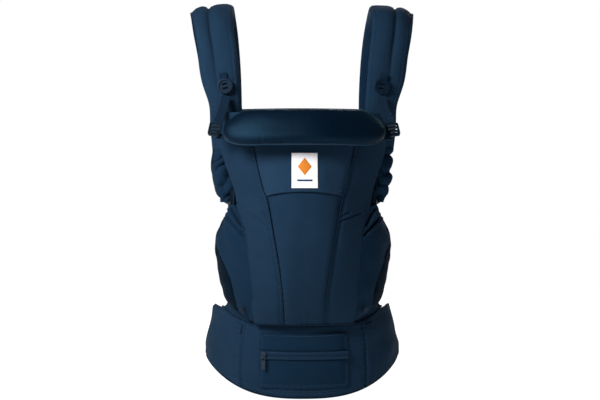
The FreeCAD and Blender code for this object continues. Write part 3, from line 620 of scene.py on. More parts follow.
def flat_coordinates(graph, by_uv):
    """Two lengths along the cloth in metres: from its own layout, or from its place in space."""
    if by_uv:
        vector = graph.add("ShaderNodeUVMap", uv_map="weave").outputs[0]
        parts = graph.add("ShaderNodeSeparateXYZ", {0: vector}).outputs
        return vector, parts[0], parts[1]
    vector = graph.in_space()
    parts = graph.add("ShaderNodeSeparateXYZ", {0: vector}).outputs
    return vector, graph.math("ADD", parts[0], graph.math("MULTIPLY", parts[1], 0.7)), parts[2]


def weave_height(graph, kind, vector, x, y, pitch):
    """Height of the threads, 0 to 1."""
    if kind == "twill":
        diagonal = graph.sine(graph.math("ADD", x, y), pitch)
        threads = graph.sine(graph.math("SUBTRACT", x, y), pitch * 0.62)
        return graph.math("MULTIPLY", diagonal, graph.math("ADD", 0.6, graph.math("MULTIPLY", threads, 0.4)))
    if kind == "rib":
        cords = graph.sine(x, pitch)
        picks = graph.sine(y, pitch * 0.6)
        return graph.math("ADD", graph.math("MULTIPLY", cords, 0.65), graph.math("MULTIPLY", picks, 0.35))
    if kind == "knit":
        wales = graph.sine(x, pitch)
        courses = graph.sine(y, pitch * 0.7)
        return graph.math("MULTIPLY", graph.math("ADD", 0.4, wales), graph.math("ADD", 0.5, courses))
    if kind == "mesh":
        cells = graph.add("ShaderNodeTexVoronoi", {"Vector": vector, "Scale": 1 / pitch, "Randomness": 0.15})
        return graph.ramp(cells.outputs["Distance"], 0.18, 0.42)
    warp = graph.sine(x, pitch)
    weft = graph.sine(y, pitch)
    return graph.math("MULTIPLY", warp, weft)


def fabric(name, base, kind, pitch, rough=0.85, sheen=0.2, depth=0.00025, by_uv=True, contrast=0.3,
           tint=(0.6, 0.75, 1.0), shine=0.06):
    """Woven or knitted cloth: threads, fibres, and slow changes of colour and wear."""
    graph = Graph(name)
    vector, x, y = flat_coordinates(graph, by_uv)
    threads = weave_height(graph, kind, vector, x, y, pitch)
    fibres = graph.noise(vector, 1400.0, 2.0)
    cloud = graph.noise(vector, 9.0, 4.0)
    streak = graph.noise(vector, 60.0, 3.0)
    dark, light = colour(*base, 1 - contrast), colour(*base, 1 + contrast)
    shade = graph.blend(threads, dark, light)
    shade = graph.blend(graph.ramp(fibres, 0.3, 0.7), graph.blend(0.22, shade, dark), shade)
    faded = graph.blend(0.35, shade, colour(*[c * 1.35 + 0.002 for c in base]))
    shade = graph.blend(graph.ramp(cloud, 0.35, 0.75), shade, faded)
    shade = graph.blend(graph.math("MULTIPLY", graph.ramp(streak, 0.4, 0.8), 0.25), shade, dark)
    height = graph.math("ADD", threads, graph.math("MULTIPLY", fibres, 0.35))
    worn = graph.spread(cloud, rough - 0.05, rough + 0.06)
    soft = graph.bump(streak, 0.25, 0.0009)
    return graph.surface(
        Base_Color=shade, Roughness=worn, Normal=graph.bump(height, 0.55, depth, soft),
        Sheen_Weight=sheen, Sheen_Roughness=0.45, Sheen_Tint=(*tint, 1.0), Specular_IOR_Level=shine,
        Specular_Tint=(0.2, 0.6, 1.0, 1.0),
    )


def plastic(name, base, rough, fleck=0.12):
    """Moulded acetal: fine spark texture, slightly glossier where it is handled."""
    graph = Graph(name)
    vector = graph.in_space()
    grain = graph.noise(vector, 900.0, 2.0)
    cloud = graph.noise(vector, 40.0, 3.0)
    shade = graph.blend(graph.ramp(cloud, 0.3, 0.7), colour(*base, 1 - fleck), colour(*base, 1 + fleck))
    worn = graph.spread(cloud, rough - 0.08, rough + 0.1)
    return graph.surface(
        Base_Color=shade, Roughness=worn, Normal=graph.bump(grain, 0.2, 0.0001),
        Specular_IOR_Level=0.16, Specular_Tint=(0.45, 0.7, 1.0, 1.0),
    )


def metal(name, base):
    graph = Graph(name)
    vector = graph.in_space()
    grain = graph.noise(vector, 500.0, 3.0)
    worn = graph.spread(grain, 0.3, 0.5)
    shade = graph.blend(grain, colour(*base, 0.8), colour(*base, 1.3))
    return graph.surface(
        Base_Color=shade, Metallic=0.4, Roughness=worn,
        Normal=graph.bump(grain, 0.15, 0.0001),
    )


NAVY = (0.0076, 0.0205, 0.0410)
TWILL = {"kind": "twill", "pitch": 0.0013, "sheen": 0.02}
# SHADED is the navy twill made darker: painted shade for pieces that sit in shade, namely the pouch, the wings and
# the strap gathers.
SHADED = (0.0046, 0.0155, 0.0330)
SPACER = {"base": (0.003, 0.011, 0.026), "kind": "mesh", "pitch": 0.0032, "depth": 0.0012, "contrast": 0.55,
          "sheen": 0.1}
JERSEY = {"base": (0.0, 0.0014, 0.0058), "kind": "knit", "pitch": 0.0010, "rough": 0.5, "sheen": 0.06,
          "depth": 0.00008, "contrast": 0.15, "tint": (0.2, 0.7, 1.0), "shine": 0.18}
WEBBING = {"base": (0.003, 0.010, 0.022), "kind": "rib", "pitch": 0.0019, "rough": 0.62, "depth": 0.0005,
           "contrast": 0.4}
cotton = fabric("cotton_twill", NAVY, **TWILL)
cotton_loose_shaded = fabric("cotton_twill_loose_shaded", SHADED, **TWILL, by_uv=False)
# The same navy twill as the panel, made lighter: painted light where the yoke catches more of the key light.
cotton_yoke_painted_light = fabric("cotton_twill_yoke_painted_light", (0.0102, 0.0260, 0.0510), **TWILL)
cotton_shade = fabric("cotton_twill_shade", SHADED, **TWILL)
# Dark lining cloth: its own dark colour, made darker still as painted shade for the leg padding's band that faces
# sideways and back, away from the light.
dark_lining_and_shade = fabric("cotton_lining", (0.0005, 0.0035, 0.0090), "plain", 0.0011, sheen=0.02)
spacer = fabric("spacer_mesh", **SPACER)
spacer_loose = fabric("spacer_mesh_loose", **SPACER, by_uv=False)
jersey = fabric("jersey", **JERSEY, by_uv=False)
jersey_flat = fabric("jersey_flat", **JERSEY)
# Dark binding tape: where it runs along the belt's edges, the seams and the panel's hem, it also stands for painted
# shade.
binding = fabric("binding_tape", (0.002, 0.008, 0.019), "rib", 0.0012, sheen=0.1)
edging = fabric("edging_tape", (0.010, 0.026, 0.048), "rib", 0.0009, sheen=0.1)
webbing = fabric("webbing", **WEBBING)
webbing_loose = fabric("webbing_loose", **WEBBING, by_uv=False)
zip_tape = fabric("zip_tape", (0.004, 0.016, 0.038), "rib", 0.0009, sheen=0.1)
label_cloth = fabric("label_weave", (0.74, 0.73, 0.74), "plain", 0.0008, sheen=0.1, contrast=0.06,
                     tint=(1, 1, 1))
label_orange = fabric("label_orange_thread", (0.55, 0.17, 0.02), "plain", 0.0008, contrast=0.12,
                      tint=(1, 0.8, 0.6))
label_navy = fabric("label_navy_thread", (0.015, 0.035, 0.10), "plain", 0.0008, contrast=0.12)
thread = fabric("sewing_thread", (0.012, 0.034, 0.070), "rib", 0.0006, rough=0.6, contrast=0.2)
moulded = plastic("moulded_plastic", (0.002, 0.006, 0.013), 0.42)
button_plastic = plastic("button_plastic", (0.003, 0.008, 0.017), 0.34)
zip_metal = metal("zip_metal", (0.004, 0.012, 0.027))


# ---- pieces


def layer(name, place, u_range, v_range, outer, inner, materials, slot="cotton", replaced=(), body="carrier",
          **settings):
    """A shell that rides on a body."""
    obj = shell(name, place, u_range, v_range, outer, inner, materials, **settings)
    return finished(obj, body, slot, replaced)


def piping(name, points, radius, material=binding, body="carrier", slot="webbing", **settings):
    return finished(tube(name, points, radius, material, **settings), body, slot)


def raised(place, u, v, out, dv=0.01):
    """Points at a distance out from a surface."""
    return place(u, v) + surface_normal(place, u, v, 0.01, dv) * out


def stitch_level(place, outer, reach, level, count):
    """One row of stitches across the middle of a shell."""
    stitch_on("carrier", place, outer, [(-reach, level), (reach, level)], count)


# ---- waist belt


def belt_ripple(angle, v):
    around = angle * BELT_DEGREE
    height = v * 110.0
    folds = ripple(around, height, 3, 70.0, 0.9) + ripple(around * 0.4, height, 4, 26.0, 0.35)
    past = (np.abs(angle) - BELT_SEAM) * BELT_DEGREE
    seam = np.abs(past)
    lap = 1.3 * smooth((past + 3.0) / 2.0) * smooth(1 - past / 30.0)
    return folds + lap + groove(seam, 4.8, 1.5) + pucker(seam, height, 5, 0.7) + pucker(v * 90, around, 6, 0.5)


def belt_outer(angle, v):
    return FACING_OUT - 0.6 + 1.1 * np.sin(math.pi * np.clip(v, 0, 1)) ** 0.7 + belt_ripple(angle, v)


def tab_pocket(angle, v):
    """1 where a seat tab slides between the belt's layers, 0 elsewhere."""
    away = np.abs(angle)
    return smooth((away - 25.0) / 5.0) * smooth((75.0 - away) / 5.0) * smooth((v - 0.55) / 0.1)


belt_span = (-BELT_END, BELT_END)
belt_padding = layer("belt_padding", belt_surface, belt_span, (0.02, 0.98),
                     lambda a, v: FOAM_OUT - 1.6 * tab_pocket(a, v), FOAM_IN, [dark_lining_and_shade], "foam", ["belt_foam"],
                     rim=5.0, pitch=4.0)
layer("belt_cover", belt_surface, belt_span, (0.0, 1.0), belt_outer,
      lambda a, v: FACING_IN - 2.4 * (1 - tab_pocket(a, v)), [cotton, dark_lining_and_shade], "cotton", ["belt_facing"],
      rim=3.2, pitch=2.4)
layer("belt_mesh_lining", belt_surface, belt_span, (0.01, 0.99), LINING_OUT,
      lambda a, v: LINING_IN + 0.5 * ripple(a * BELT_DEGREE, v * 110, 9, 40.0, 1.0), [spacer], "spacer_mesh",
      ["belt_lining"], rim=1.2)


def belt_edge(offset, v_low=0.0, v_high=1.0):
    """Closed path round the belt's outline."""
    angles = np.linspace(-BELT_END, BELT_END, 160)
    ups = np.linspace(v_low, v_high, 24)
    u = np.concatenate([angles, np.full(22, BELT_END), angles[::-1], np.full(22, -BELT_END)])
    v = np.concatenate([np.full(160, v_low), ups[1:-1], np.full(160, v_high), ups[1:-1][::-1]])
    path = raised(belt_surface, u, v, offset, 0.001)
    return np.concatenate([path, path[:1]])


# Dark binding round the belt's outline: partly its bound edge, partly painted shade along the edge.
piping("belt_binding_and_shade_front", belt_edge(7.4), 1.9, closed=True)
piping("belt_binding_and_shade_back", belt_edge(-5.6), 1.9, closed=True)
for low in (0.055, 0.09):
    stitch_level(belt_surface, belt_outer, BELT_END - 3, low, 400)
stitch_on("carrier", belt_surface, belt_outer, [(-BELT_END + 3, 0.94), (-30, 0.94)], 200)
stitch_on("carrier", belt_surface, belt_outer, [(30, 0.94), (BELT_END - 3, 0.94)], 200)
for side, word in reversed(SIDES):
    for away in (1.5, 3.0):
        angle = side * (BELT_SEAM + away)
        stitch_on("carrier", belt_surface, belt_outer, [(angle, 0.02), (angle, 0.97)], 80)
    # A dark tube down each belt seam: partly piping, partly painted shade in the seam's groove.
    line_u, line_v = np.full(60, side * BELT_SEAM), np.linspace(0.02, 0.97, 60)
    out = belt_outer(line_u, line_v)[:, None] + 0.1
    piping("belt_seam_piping_and_shade_" + word, raised(belt_surface, line_u, line_v, out, 0.001), 0.9)
    tag = sided(belt_surface, side)
    tag_range = sided_range(side, *BELT_TAG_ANGLES)
    layer("belt_tag_" + word, tag, tag_range, (0.8, 0.94), lambda a, v: belt_outer(a, v) + 2.2,
          lambda a, v: belt_outer(a, v) - 0.8, [cotton], rim=1.0, pitch=1.6)
    low, high = tag_range
    box = [(low + 0.6, 0.82), (high - 0.6, 0.82), (high - 0.6, 0.92), (low + 0.6, 0.92), (low + 0.6, 0.82)]
    stitch_on("carrier", tag, lambda a, v: belt_outer(a, v) + 2.2, box, 30)


# ---- pouch and zip


def pouch_outer(angle, z):
    share = (z - POUCH_LOW) / (POUCH_HIGH - POUCH_LOW)
    around = angle * FLAT_DEGREE
    sides = (POUCH_HALF_ANGLE - np.abs(angle)) * BELT_DEGREE
    full = 3.4 * smooth(np.minimum(sides, (z - POUCH_LOW) * 0.8) / 20.0) * (1 - 0.25 * share)
    lip = groove(z - ZIP_HIGH - 1.2, 1.6, 1.2) + groove(z - ZIP_LOW + 1.2, 1.6, 1.2)
    side = np.abs(np.abs(angle) - POUCH_HALF_ANGLE) * FLAT_DEGREE
    folds = ripple(around, z, 21, 55.0, 0.5) * smooth((ZIP_LOW - z) / 20.0)
    gather = pucker(side, z, 22, 0.5) + pucker(z - POUCH_LOW, around, 23, 0.6)
    return FACING_OUT + 2.0 + full + lip + folds + gather


pouch_span = (-POUCH_HALF_ANGLE, POUCH_HALF_ANGLE)
# The pouch cover takes the darker copy of the twill: painted shade.
layer("pouch_cover", level_surface, pouch_span, (POUCH_LOW, POUCH_HIGH), pouch_outer, FACING_OUT + GAP,
      [cotton_shade], "cotton", ["pouch"], rim=1.2, pitch=2.0)
for inset in (3.0, 5.6):
    a = POUCH_HALF_ANGLE - inset / FLAT_DEGREE
    path = [(-a, POUCH_HIGH - inset), (-a, POUCH_LOW + inset), (a, POUCH_LOW + inset), (a, POUCH_HIGH - inset)]
    stitch_on("carrier", level_surface, pouch_outer, path, 80)
stitch_level(level_surface, pouch_outer, 24, POUCH_HIGH - 3, 160)

zip_base = FACING_OUT + GAP + POUCH_THICK + 0.3
zip_mid = (ZIP_LOW + ZIP_HIGH) / 2
zip_span = (-POUCH_HALF_ANGLE + 1.0, POUCH_HALF_ANGLE - 1.0)


def lip_outer(low, high):
    def outer(angle, z):
        share = np.clip((z - low) / (high - low), 0, 1)
        return zip_base + 0.55 + 0.5 * np.sin(math.pi * share) + ripple(angle * FLAT_DEGREE, z, 31, 30, 0.12)
    return outer


for name, low, high in (("lower", ZIP_LOW - 0.6, zip_mid - 0.5), ("upper", zip_mid + 0.5, ZIP_HIGH + 0.6)):
    layer("zip_lip_" + name, level_surface, zip_span, (low, high), lip_outer(low, high), zip_base - 1.4, [cotton],
          "zip_tape", ["pouch_zipper"] if name == "lower" else [], rim=0.9, pitch=1.5)
    edge = low + 1.3 if name == "lower" else high - 1.3
    stitch_level(level_surface, lip_outer(low, high), 24, edge, 160)
coil = raised(level_surface, np.linspace(*zip_span, 120), np.full(120, zip_mid), zip_base)
piping("zip_coil", coil, 0.8, zip_tape, slot="zip_tape", pitch=1.2)


# ---- seat tabs

tab_middle = (SEAT_TAB_IN + SEAT_TAB_OUT) / 2


def tab_surface(angle, v):
    """The tab's cloth, with its outer top corner rounded off."""
    high = SEAT_TAB_HIGH + 6.0 - 14.0 * smooth((angle - 54.0) / 8.0) ** 2
    return level_surface(angle, SEAT_TAB_LOW + (high - SEAT_TAB_LOW) * v)


for side, word in SIDES:
    def tab_outer(angle, v, seed=40 + side):
        return tab_middle + 0.6 + ripple(angle * FLAT_DEGREE, v * 57.0, seed, 30.0, 0.2)

    span = sided_range(side, SEAT_TAB_ANGLES[0], SEAT_TAB_ANGLES[1] - 1.5)
    place = sided(tab_surface, side)
    layer("seat_tab_cloth_" + word, place, span, (0, 1), tab_outer, tab_middle - 0.7, [cotton], "cotton",
          ["seat_tab_" + word], "seat_tab_" + word, rim=1.2)
    stitch_on("seat_tab_" + word, place, tab_outer, [(span[0] + 1, 0.94), (span[1] - 1, 0.94)], 60)


# ---- front panel


def seam_at(z):
    return table(z, SEAM)


def panel_folds(x, z, seed):
    return ripple(x, z * 0.5, seed, 75.0, 0.8) + ripple(x, z, seed + 1, 33.0, 0.2)


def seam_valley(distance):
    """The cloth sinks softly towards a sewn seam."""
    return groove(distance, 2.0, 5.5)


def centre_place(t, z):
    return panel_at(t * (seam_at(z) - GAP), z)


def centre_top(t):
    return yoke_low(t) + 1.5


def centre_shell(t, v):
    return centre_place(t, PANEL_LOW + (centre_top(t) - PANEL_LOW) * v)


def centre_outer(t, v):
    z = PANEL_LOW + (centre_top(t) - PANEL_LOW) * v
    x = t * seam_at(z)
    beside = np.abs(seam_at(z) - np.abs(x))
    under = -1.9 * smooth(1 - (centre_top(t) - z) / 7.0)
    hollow = -1.6 * smooth(1 - (centre_top(t) - z) / 34.0)
    hem = groove(z - PANEL_LOW - 7.0, 0.7, 1.3)
    value = 0.2 + panel_folds(x, z, 50) + seam_valley(beside) + pucker(beside, z, 52) + under + hollow + hem
    return value + pucker(z - PANEL_LOW, x, 53, 0.6)


def yoke_shell(t, v):
    low = yoke_low(t)
    return centre_place(t, low + (PANEL_HIGH - low) * v)


def yoke_outer(t, v):
    low = yoke_low(t)
    z = low + (PANEL_HIGH - low) * v
    x = t * seam_at(z)
    beside = np.abs(seam_at(z) - np.abs(x))
    lip = 1.5 * smooth(1 - (z - low) / 26.0)
    folds = panel_folds(x, z, 54) * (0.15 + 0.85 * smooth((np.abs(x) - 18.0) / 16.0))
    folds = folds + 0.5 * ripple(x * 0.3, z, 58, 24.0, 0.6) * smooth((np.abs(x) - 22.0) / 10.0)
    value = 0.1 + lip + folds + seam_valley(beside) + pucker(beside, z, 56, 0.7)
    return value + groove(z - low - 4.0, 0.5, 1.0)


layer("centre_panel_cloth", centre_shell, (-1, 1), (0, 1), centre_outer, -PANEL_THICK, [cotton, dark_lining_and_shade],
      "cotton", ["centre_panel"], rim=3.0, pitch=2.2)
# The yoke takes the lighter copy of the twill: painted light.
layer("yoke_cloth", yoke_shell, (-1, 1), (0, 1), yoke_outer, -PANEL_THICK + 1.0, [cotton_yoke_painted_light, dark_lining_and_shade],
      "cotton", ["yoke_panel"], rim=1.7, pitch=2.2)
stitch_level(yoke_shell, yoke_outer, 0.97, 0.022, 200)
stitch_level(yoke_shell, yoke_outer, 0.97, 0.045, 200)
stitch_level(centre_shell, centre_outer, 0.97, 0.035, 160)

# A dark binding tube along the panel's hem: partly its binding, partly painted shadow under the hem's edge.
across = np.linspace(-1, 1, 120) * (float(panel_half(PANEL_LOW)) + 1.0)
piping("panel_hem_and_shadow", panel_at(across, np.full(120, PANEL_LOW + 0.6)) + vec(0, 1.2, 0), 1.7)


def side_shell(t, z):
    """t runs from 0 at the right long seam to 1 at the panel's right edge."""
    low = seam_at(z) + GAP
    return panel_at(low + (panel_half(z) - low) * t, z)


for side, word in SIDES:
    heights = np.linspace(PANEL_LOW + 1, PANEL_HIGH - 4, 160)
    # A dark tube along each long seam: partly piping, partly painted shade in the seam's groove.
    seam_line = panel_at(side * seam_at(heights), heights) + vec(0, 0.7, 0)
    piping("long_seam_piping_and_shade_" + word, seam_line, 1.1)

    def side_outer(t, z, side=side):
        t = np.abs(t)
        low = seam_at(z) + GAP
        x = low + (panel_half(z) - low) * t
        value = 0.2 + panel_folds(x, z, 60 + side) + seam_valley(x - low) + pucker(x - low, z, 63 + side)
        value = value + groove(x - low - 5.0, 0.35, 1.0)
        for path in CREASES[side]:
            d = to_line(x, z, path)
            above = smooth((z - path[0][1]) / 14.0 + 0.5)
            value = value + groove(d, 3.0, 1.2) + 0.7 * np.exp(-((d - 4.0) / 3.0) ** 2) * above
        return value

    place = sided(side_shell, side)
    layer("side_panel_cloth_" + word, place, sided_range(side, 0, 1), (PANEL_LOW, PANEL_HIGH), side_outer,
          -PANEL_THICK, [cotton, dark_lining_and_shade], "cotton", ["side_panel_" + word], rim=3.0, pitch=2.2)
    for start, count, share in ((PANEL_LOW + 4, 24, lambda wide: 3.0 / wide),
                                (300, 12, lambda wide: 1 - 4.0 / wide)):
        levels = np.linspace(start, PANEL_HIGH - 4, count)
        edge = [(side * share(float(panel_half(z) - seam_at(z))), z) for z in levels]
        stitch_on("carrier", place, side_outer, edge, 14)


def liner_place(u, z):
    return panel_at(u * panel_half(z), z)


def flat_size(place, u_range, z_range):
    """Width, length and area of a curved sheet laid flat, in metres and square metres."""
    levels = np.linspace(*z_range, 60)
    widths = [path_length(place(np.linspace(*u_range, 80), np.full(80, z))) for z in levels]
    middle = place(np.zeros(60), levels)
    rises = np.linalg.norm(np.diff(middle, axis=0), axis=1)
    area = float(np.sum(rises * (np.array(widths[1:]) + widths[:-1]) / 2))
    return (max(widths) * MM, path_length(middle) * MM), area * MM * MM


liner_span = ((-LINER_SHARE, LINER_SHARE), (PANEL_LOW + 3, PANEL_HIGH - 8))
LINER_CUT, LINER_AREA = flat_size(liner_place, *liner_span)
liner = layer("inner_liner_cloth", liner_place, *liner_span, LINER_OUT, LINER_IN, [dark_lining_and_shade, dark_lining_and_shade],
              "cotton_lining", ["inner_liner"], rim=1.0, pitch=5.0)


def foot_place(u, v):
    """The liner's foot, which turns in from the panel's hem to the belt's upper edge."""
    u, v = paired(u, v)
    half = float(panel_half(FOOT_TOP))
    start = panel_at(u * half, np.full(u.shape, FOOT_TOP)) - vec(0, (LINER_IN + LINER_OUT) / 2, 0)
    angle = np.degrees(np.arcsin(np.clip(u * half / WAIST_A, -1, 1)))
    end = belt_surface(angle, 1.0) * vec(1.03, 1.03, 1) - vec(0, 0, 0.5)
    sag = -3.0 * np.sin(math.pi * v)
    return start * (1 - v[..., None]) + end * v[..., None] + sag[..., None] * vec(0, 0, 1)


layer("inner_liner_foot", foot_place, (-FOOT_SHARE, FOOT_SHARE), (0, 1), 0.7, -0.7, [dark_lining_and_shade],
      "cotton_lining", rim=0.7, pitch=4.0)


# ---- label

label_half = LABEL_WIDE / 2


def label_outer(x, z):
    edge = np.minimum(label_half - np.abs(x), np.minimum(z - LABEL_LOW, LABEL_HIGH - z))
    return 2.1 + groove(edge - 2.0, 0.25, 0.6)


layer("label_cloth", panel_at, (-label_half, label_half), (LABEL_LOW, LABEL_HIGH), label_outer, 0.6,
      [label_cloth], "label", ["label_patch"], rim=0.8, pitch=1.2)


def motif(name, corners, material, high=2.55):
    """A flat embroidered shape on the label, corners as (x, z) round its middle."""
    rings = []
    for size, away in ((1.0, 2.0), (1.0, high - 0.2), (0.9, high), (0.0, high)):
        for x, z in corners:
            cx = sum(c[0] for c in corners) / len(corners)
            cz = sum(c[1] for c in corners) / len(corners)
            x, z = cx + (x - cx) * size, cz + (z - cz) * size
            p = panel_at(vec(x), vec(z))[0]
            n = surface_normal(panel_at, vec(x), vec(z), 0.01, 0.01)[0]
            rings.append(p + n * away)
    count = len(corners)
    faces = []
    for ring in range(3):
        for k in range(count):
            low, high_ring = ring * count, (ring + 1) * count
            faces.append((low + k, low + (k + 1) % count, high_ring + (k + 1) % count, high_ring + k))
    obj = make_object(name, rings, faces, np.asarray(rings)[:, [0, 2]], [material])
    return finished(obj, "carrier", "label")


label_z = (LABEL_LOW + LABEL_HIGH) / 2


def outline(corners, count):
    """Points along the edges of a shape."""
    points = []
    for (x0, z0), (x1, z1) in zip(corners, corners[1:] + corners[:1]):
        for k in range(count):
            points.append((x0 + (x1 - x0) * k / count, z0 + (z1 - z0) * k / count))
    return points


middle, bar_low, bar_high = label_z + 6.0, label_z - 17.4, label_z - 14.6
diamond = [(-11, middle), (0, middle - 14), (11, middle), (0, middle + 14)]
bar = [(-12, bar_low), (12, bar_low), (12, bar_high), (-12, bar_high)]
motif("label_diamond", outline(diamond, 6), label_orange)
motif("label_bar", outline(bar, 8), label_navy)


# ---- wings and leg padding


def wing_height(v):
    return table(np.asarray(v, float) * (len(WING) - 1), numbered([row[0][2] for row in WING]))


def wing_share(v):
    return table(wing_height(v), WING_COTTON)


def cotton_wing(u, v):
    k = np.asarray(v, float) * (len(WING) - 1)
    inner, outer = [table(k, numbered([row[i] for row in WING])) for i in (0, 1)]
    start = -WING_TUCK / np.linalg.norm(outer - inner, axis=-1)
    return wing_surface(start + (wing_share(v) - start) * u, v)


def padding_wing(u, v):
    share = wing_share(v) - WING_LAP
    return wing_surface(share + (1 - share) * u, v)


def wing_thick(u):
    return WING_THICK * (0.45 + 0.55 * np.sin(math.pi * (0.08 + 0.84 * u)))


for side, word in SIDES:
    def wing_outer(u, v, side=side):
        u = np.abs(u)
        p = cotton_wing(u, v)
        x, z = p[..., 0], p[..., 2]
        value = ripple(x + p[..., 1] * 0.7, z, 70 + side, 42.0, 0.9) + pucker(u * 50, z, 72 + side, 0.7, 9.0)
        value = value - 1.2 * smooth(1 - u * 8)
        value = value + pucker((1 - u) * 40, z, 75 + side, 0.5)
        for path in PLEATS:
            d = to_line(x, z, path)
            value = value + groove(d, 5.6, 1.5) + 2.4 * np.exp(-((d - 5.0) / 2.6) ** 2)
        return value

    def wing_inner(u, v):
        share = np.abs(u) * wing_share(v)
        return -wing_thick(share)

    def padding_outer(u, v, side=side):
        u = np.abs(u)
        puff = 2.6 * np.sin(math.pi * np.clip(u, 0, 1)) ** 0.6
        p = padding_wing(u, v)
        quilt = ripple(p[..., 0] + p[..., 1], p[..., 2], 80 + side, 24.0, 0.5)
        return -0.9 + puff + quilt

    def padding_inner(u, v):
        share = wing_share(v)
        u = share + (1 - share) * np.abs(u)
        return -wing_thick(u) - 4.0 * np.sin(math.pi * np.clip(v, 0, 1))

    span = sided_range(side, 0, 1)
    place = sided(cotton_wing, side)
    # The wing cotton takes the darker copy of the twill: painted shade.
    layer("wing_cloth_" + word, place, span, (0, 1), wing_outer, wing_inner, [cotton_shade, dark_lining_and_shade],
          "cotton", ["wing_" + word], rim=3.0, pitch=2.2)
    # The leg padding's outer side takes the dark lining: partly its own cloth, partly painted shade on a band that
    # faces away from the light.
    pad = layer("leg_padding_cloth_" + word, sided(padding_wing, side), span, (0.02, 0.97), padding_outer,
                padding_inner, [dark_lining_and_shade, spacer], "cotton_lining", ["leg_padding_" + word], rim=4.5, pitch=2.4)
    for u, top in ((0.93, 0.95), (0.08, 0.9)):
        stitch_on("carrier", place, wing_outer, [(side * u, v) for v in np.linspace(0.05, top, 30)], 8)


# ---- headrest and lumbar pad by cloth


def coordinates(mesh):
    values = np.zeros(len(mesh.vertices) * 3)
    mesh.vertices.foreach_get("co", values)
    return values


def inflate(obj, frames, pressure, cap, voxel):
    """Fills a closed form with air as cloth, keeps each point within cap, and subdivides once."""
    scene = bpy.context.scene
    bpy.context.view_layer.objects.active = obj
    obj.select_set(True)
    remesh = obj.modifiers.new("remesh", "REMESH")
    remesh.mode = "VOXEL"
    remesh.voxel_size = voxel
    bpy.ops.object.modifier_apply(modifier=remesh.name)
    start = coordinates(obj.data)
    cloth = obj.modifiers.new("cloth", "CLOTH")
    settings = cloth.settings
    settings.use_pressure = True
    settings.uniform_pressure_force = pressure
    settings.quality = 6
    settings.tension_stiffness = settings.compression_stiffness = 12
    settings.shear_stiffness = 6
    settings.bending_stiffness = 0.8
    settings.effector_weights.gravity = 0
    cloth.point_cache.frame_start = 1
    cloth.point_cache.frame_end = frames
    for number in range(1, frames + 1):
        scene.frame_set(number)
        bpy.context.view_layer.update()
    moved = coordinates(obj.evaluated_get(bpy.context.evaluated_depsgraph_get()).data)
    obj.modifiers.remove(cloth)
    scene.frame_set(1)
    shift = (moved - start).reshape(-1, 3)
    far = np.linalg.norm(shift, axis=1, keepdims=True)
    shift = shift * np.minimum(1.0, cap / np.maximum(far, 1e-9))
    obj.data.vertices.foreach_set("co", (start.reshape(-1, 3) + shift).ravel())
    divide = obj.modifiers.new("divide", "SUBSURF")
    divide.levels = divide.render_levels = 1
    bpy.ops.object.modifier_apply(modifier=divide.name)
    obj.select_set(False)
    obj.data.shade_smooth()


def shaped(obj, change):
    """Moves the points of obj by change(points), in millimetres."""
    points = coordinates(obj.data).reshape(-1, 3) / MM
    obj.data.vertices.foreach_set("co", (change(points) * MM).ravel())
    obj.data.update()


top, low = vec(0, *HEADREST_TOP), vec(0, *HEADREST_LOW)
pillow_up = unit(top - low)
pillow_out = np.cross(vec(1, 0, 0), pillow_up)
pillow_out = pillow_out if pillow_out[1] < 0 else -pillow_out
pillow_half = np.linalg.norm(top - low) / 2


def pillow_centre(x):
    sweep = HEADREST_SWEEP * (np.minimum(np.abs(x), HEADREST_HALF) / HEADREST_HALF) ** 2
    mid = (top + low) / 2
    return point(x, mid[1] + sweep, np.full(np.shape(x), mid[2]))


def pillow_ring(x, inset, count=44):
    size = float(table(abs(x), HEADREST_TAPER))
    turn = round_angles(count)
    long_r = max(pillow_half * size - inset, 2.0)
    thick_r = max(HEADREST_THICK * size ** 0.7 - inset, 1.5)
    centre = pillow_centre(vec(x))[0]
    return (
        centre + np.outer(np.cos(turn) * long_r, pillow_up) + np.outer(np.sin(turn) * thick_r, pillow_out)
    )


def closed_rings(name, rings, material):
    count = len(rings[0])
    verts = np.concatenate(rings)
    faces = []
    for i in range(len(rings) - 1):
        for k in range(count):
            a, b = i * count, (i + 1) * count
            faces.append((a + k, a + (k + 1) % count, b + (k + 1) % count, b + k))
    faces.append(tuple(range(count))[::-1])
    faces.append(tuple((len(rings) - 1) * count + k for k in range(count)))
    return make_object(name, verts, faces, verts[:, [0, 2]], [material])


pillow_ends = np.linspace(90, 130, 12)[1:]
pillow_xs = np.concatenate([np.linspace(-130, -90, 12)[:-1], np.linspace(-90, 90, 40), pillow_ends])
pillow = closed_rings("headrest_pillow", [pillow_ring(x, 0.2) for x in pillow_xs], jersey)
inflate(pillow, frames=20, pressure=4.0, cap=0.004, voxel=0.0045)


def pillow_shape(points):
    """Seam line along the lower edge, the fold above it, and soft wrinkles."""
    rel = points - pillow_centre(points[:, 0])
    up = rel @ pillow_up / pillow_half
    out = rel @ pillow_out
    front = smooth(out / 6.0)
    x = points[:, 0]
    move = 0.8 * np.exp(-(((up + 0.62) / 0.26) ** 2)) * front
    move = move + 0.5 * ripple(x * 0.6, up * 30, 91, 46.0, 1.0) * front
    move = move + pucker((up + 0.97) * pillow_half, x, 92, 0.5) * front
    drop = 15.0 * smooth((np.abs(x) - 90.0) / 41.0) * np.clip(1 + up, 0, 2) / 2
    return points + pillow_out * move[:, None] - pillow_up * drop[:, None]


shaped(pillow, pillow_shape)
finished(pillow, "headrest", "jersey", ["headrest_cover", "headrest_foam"])


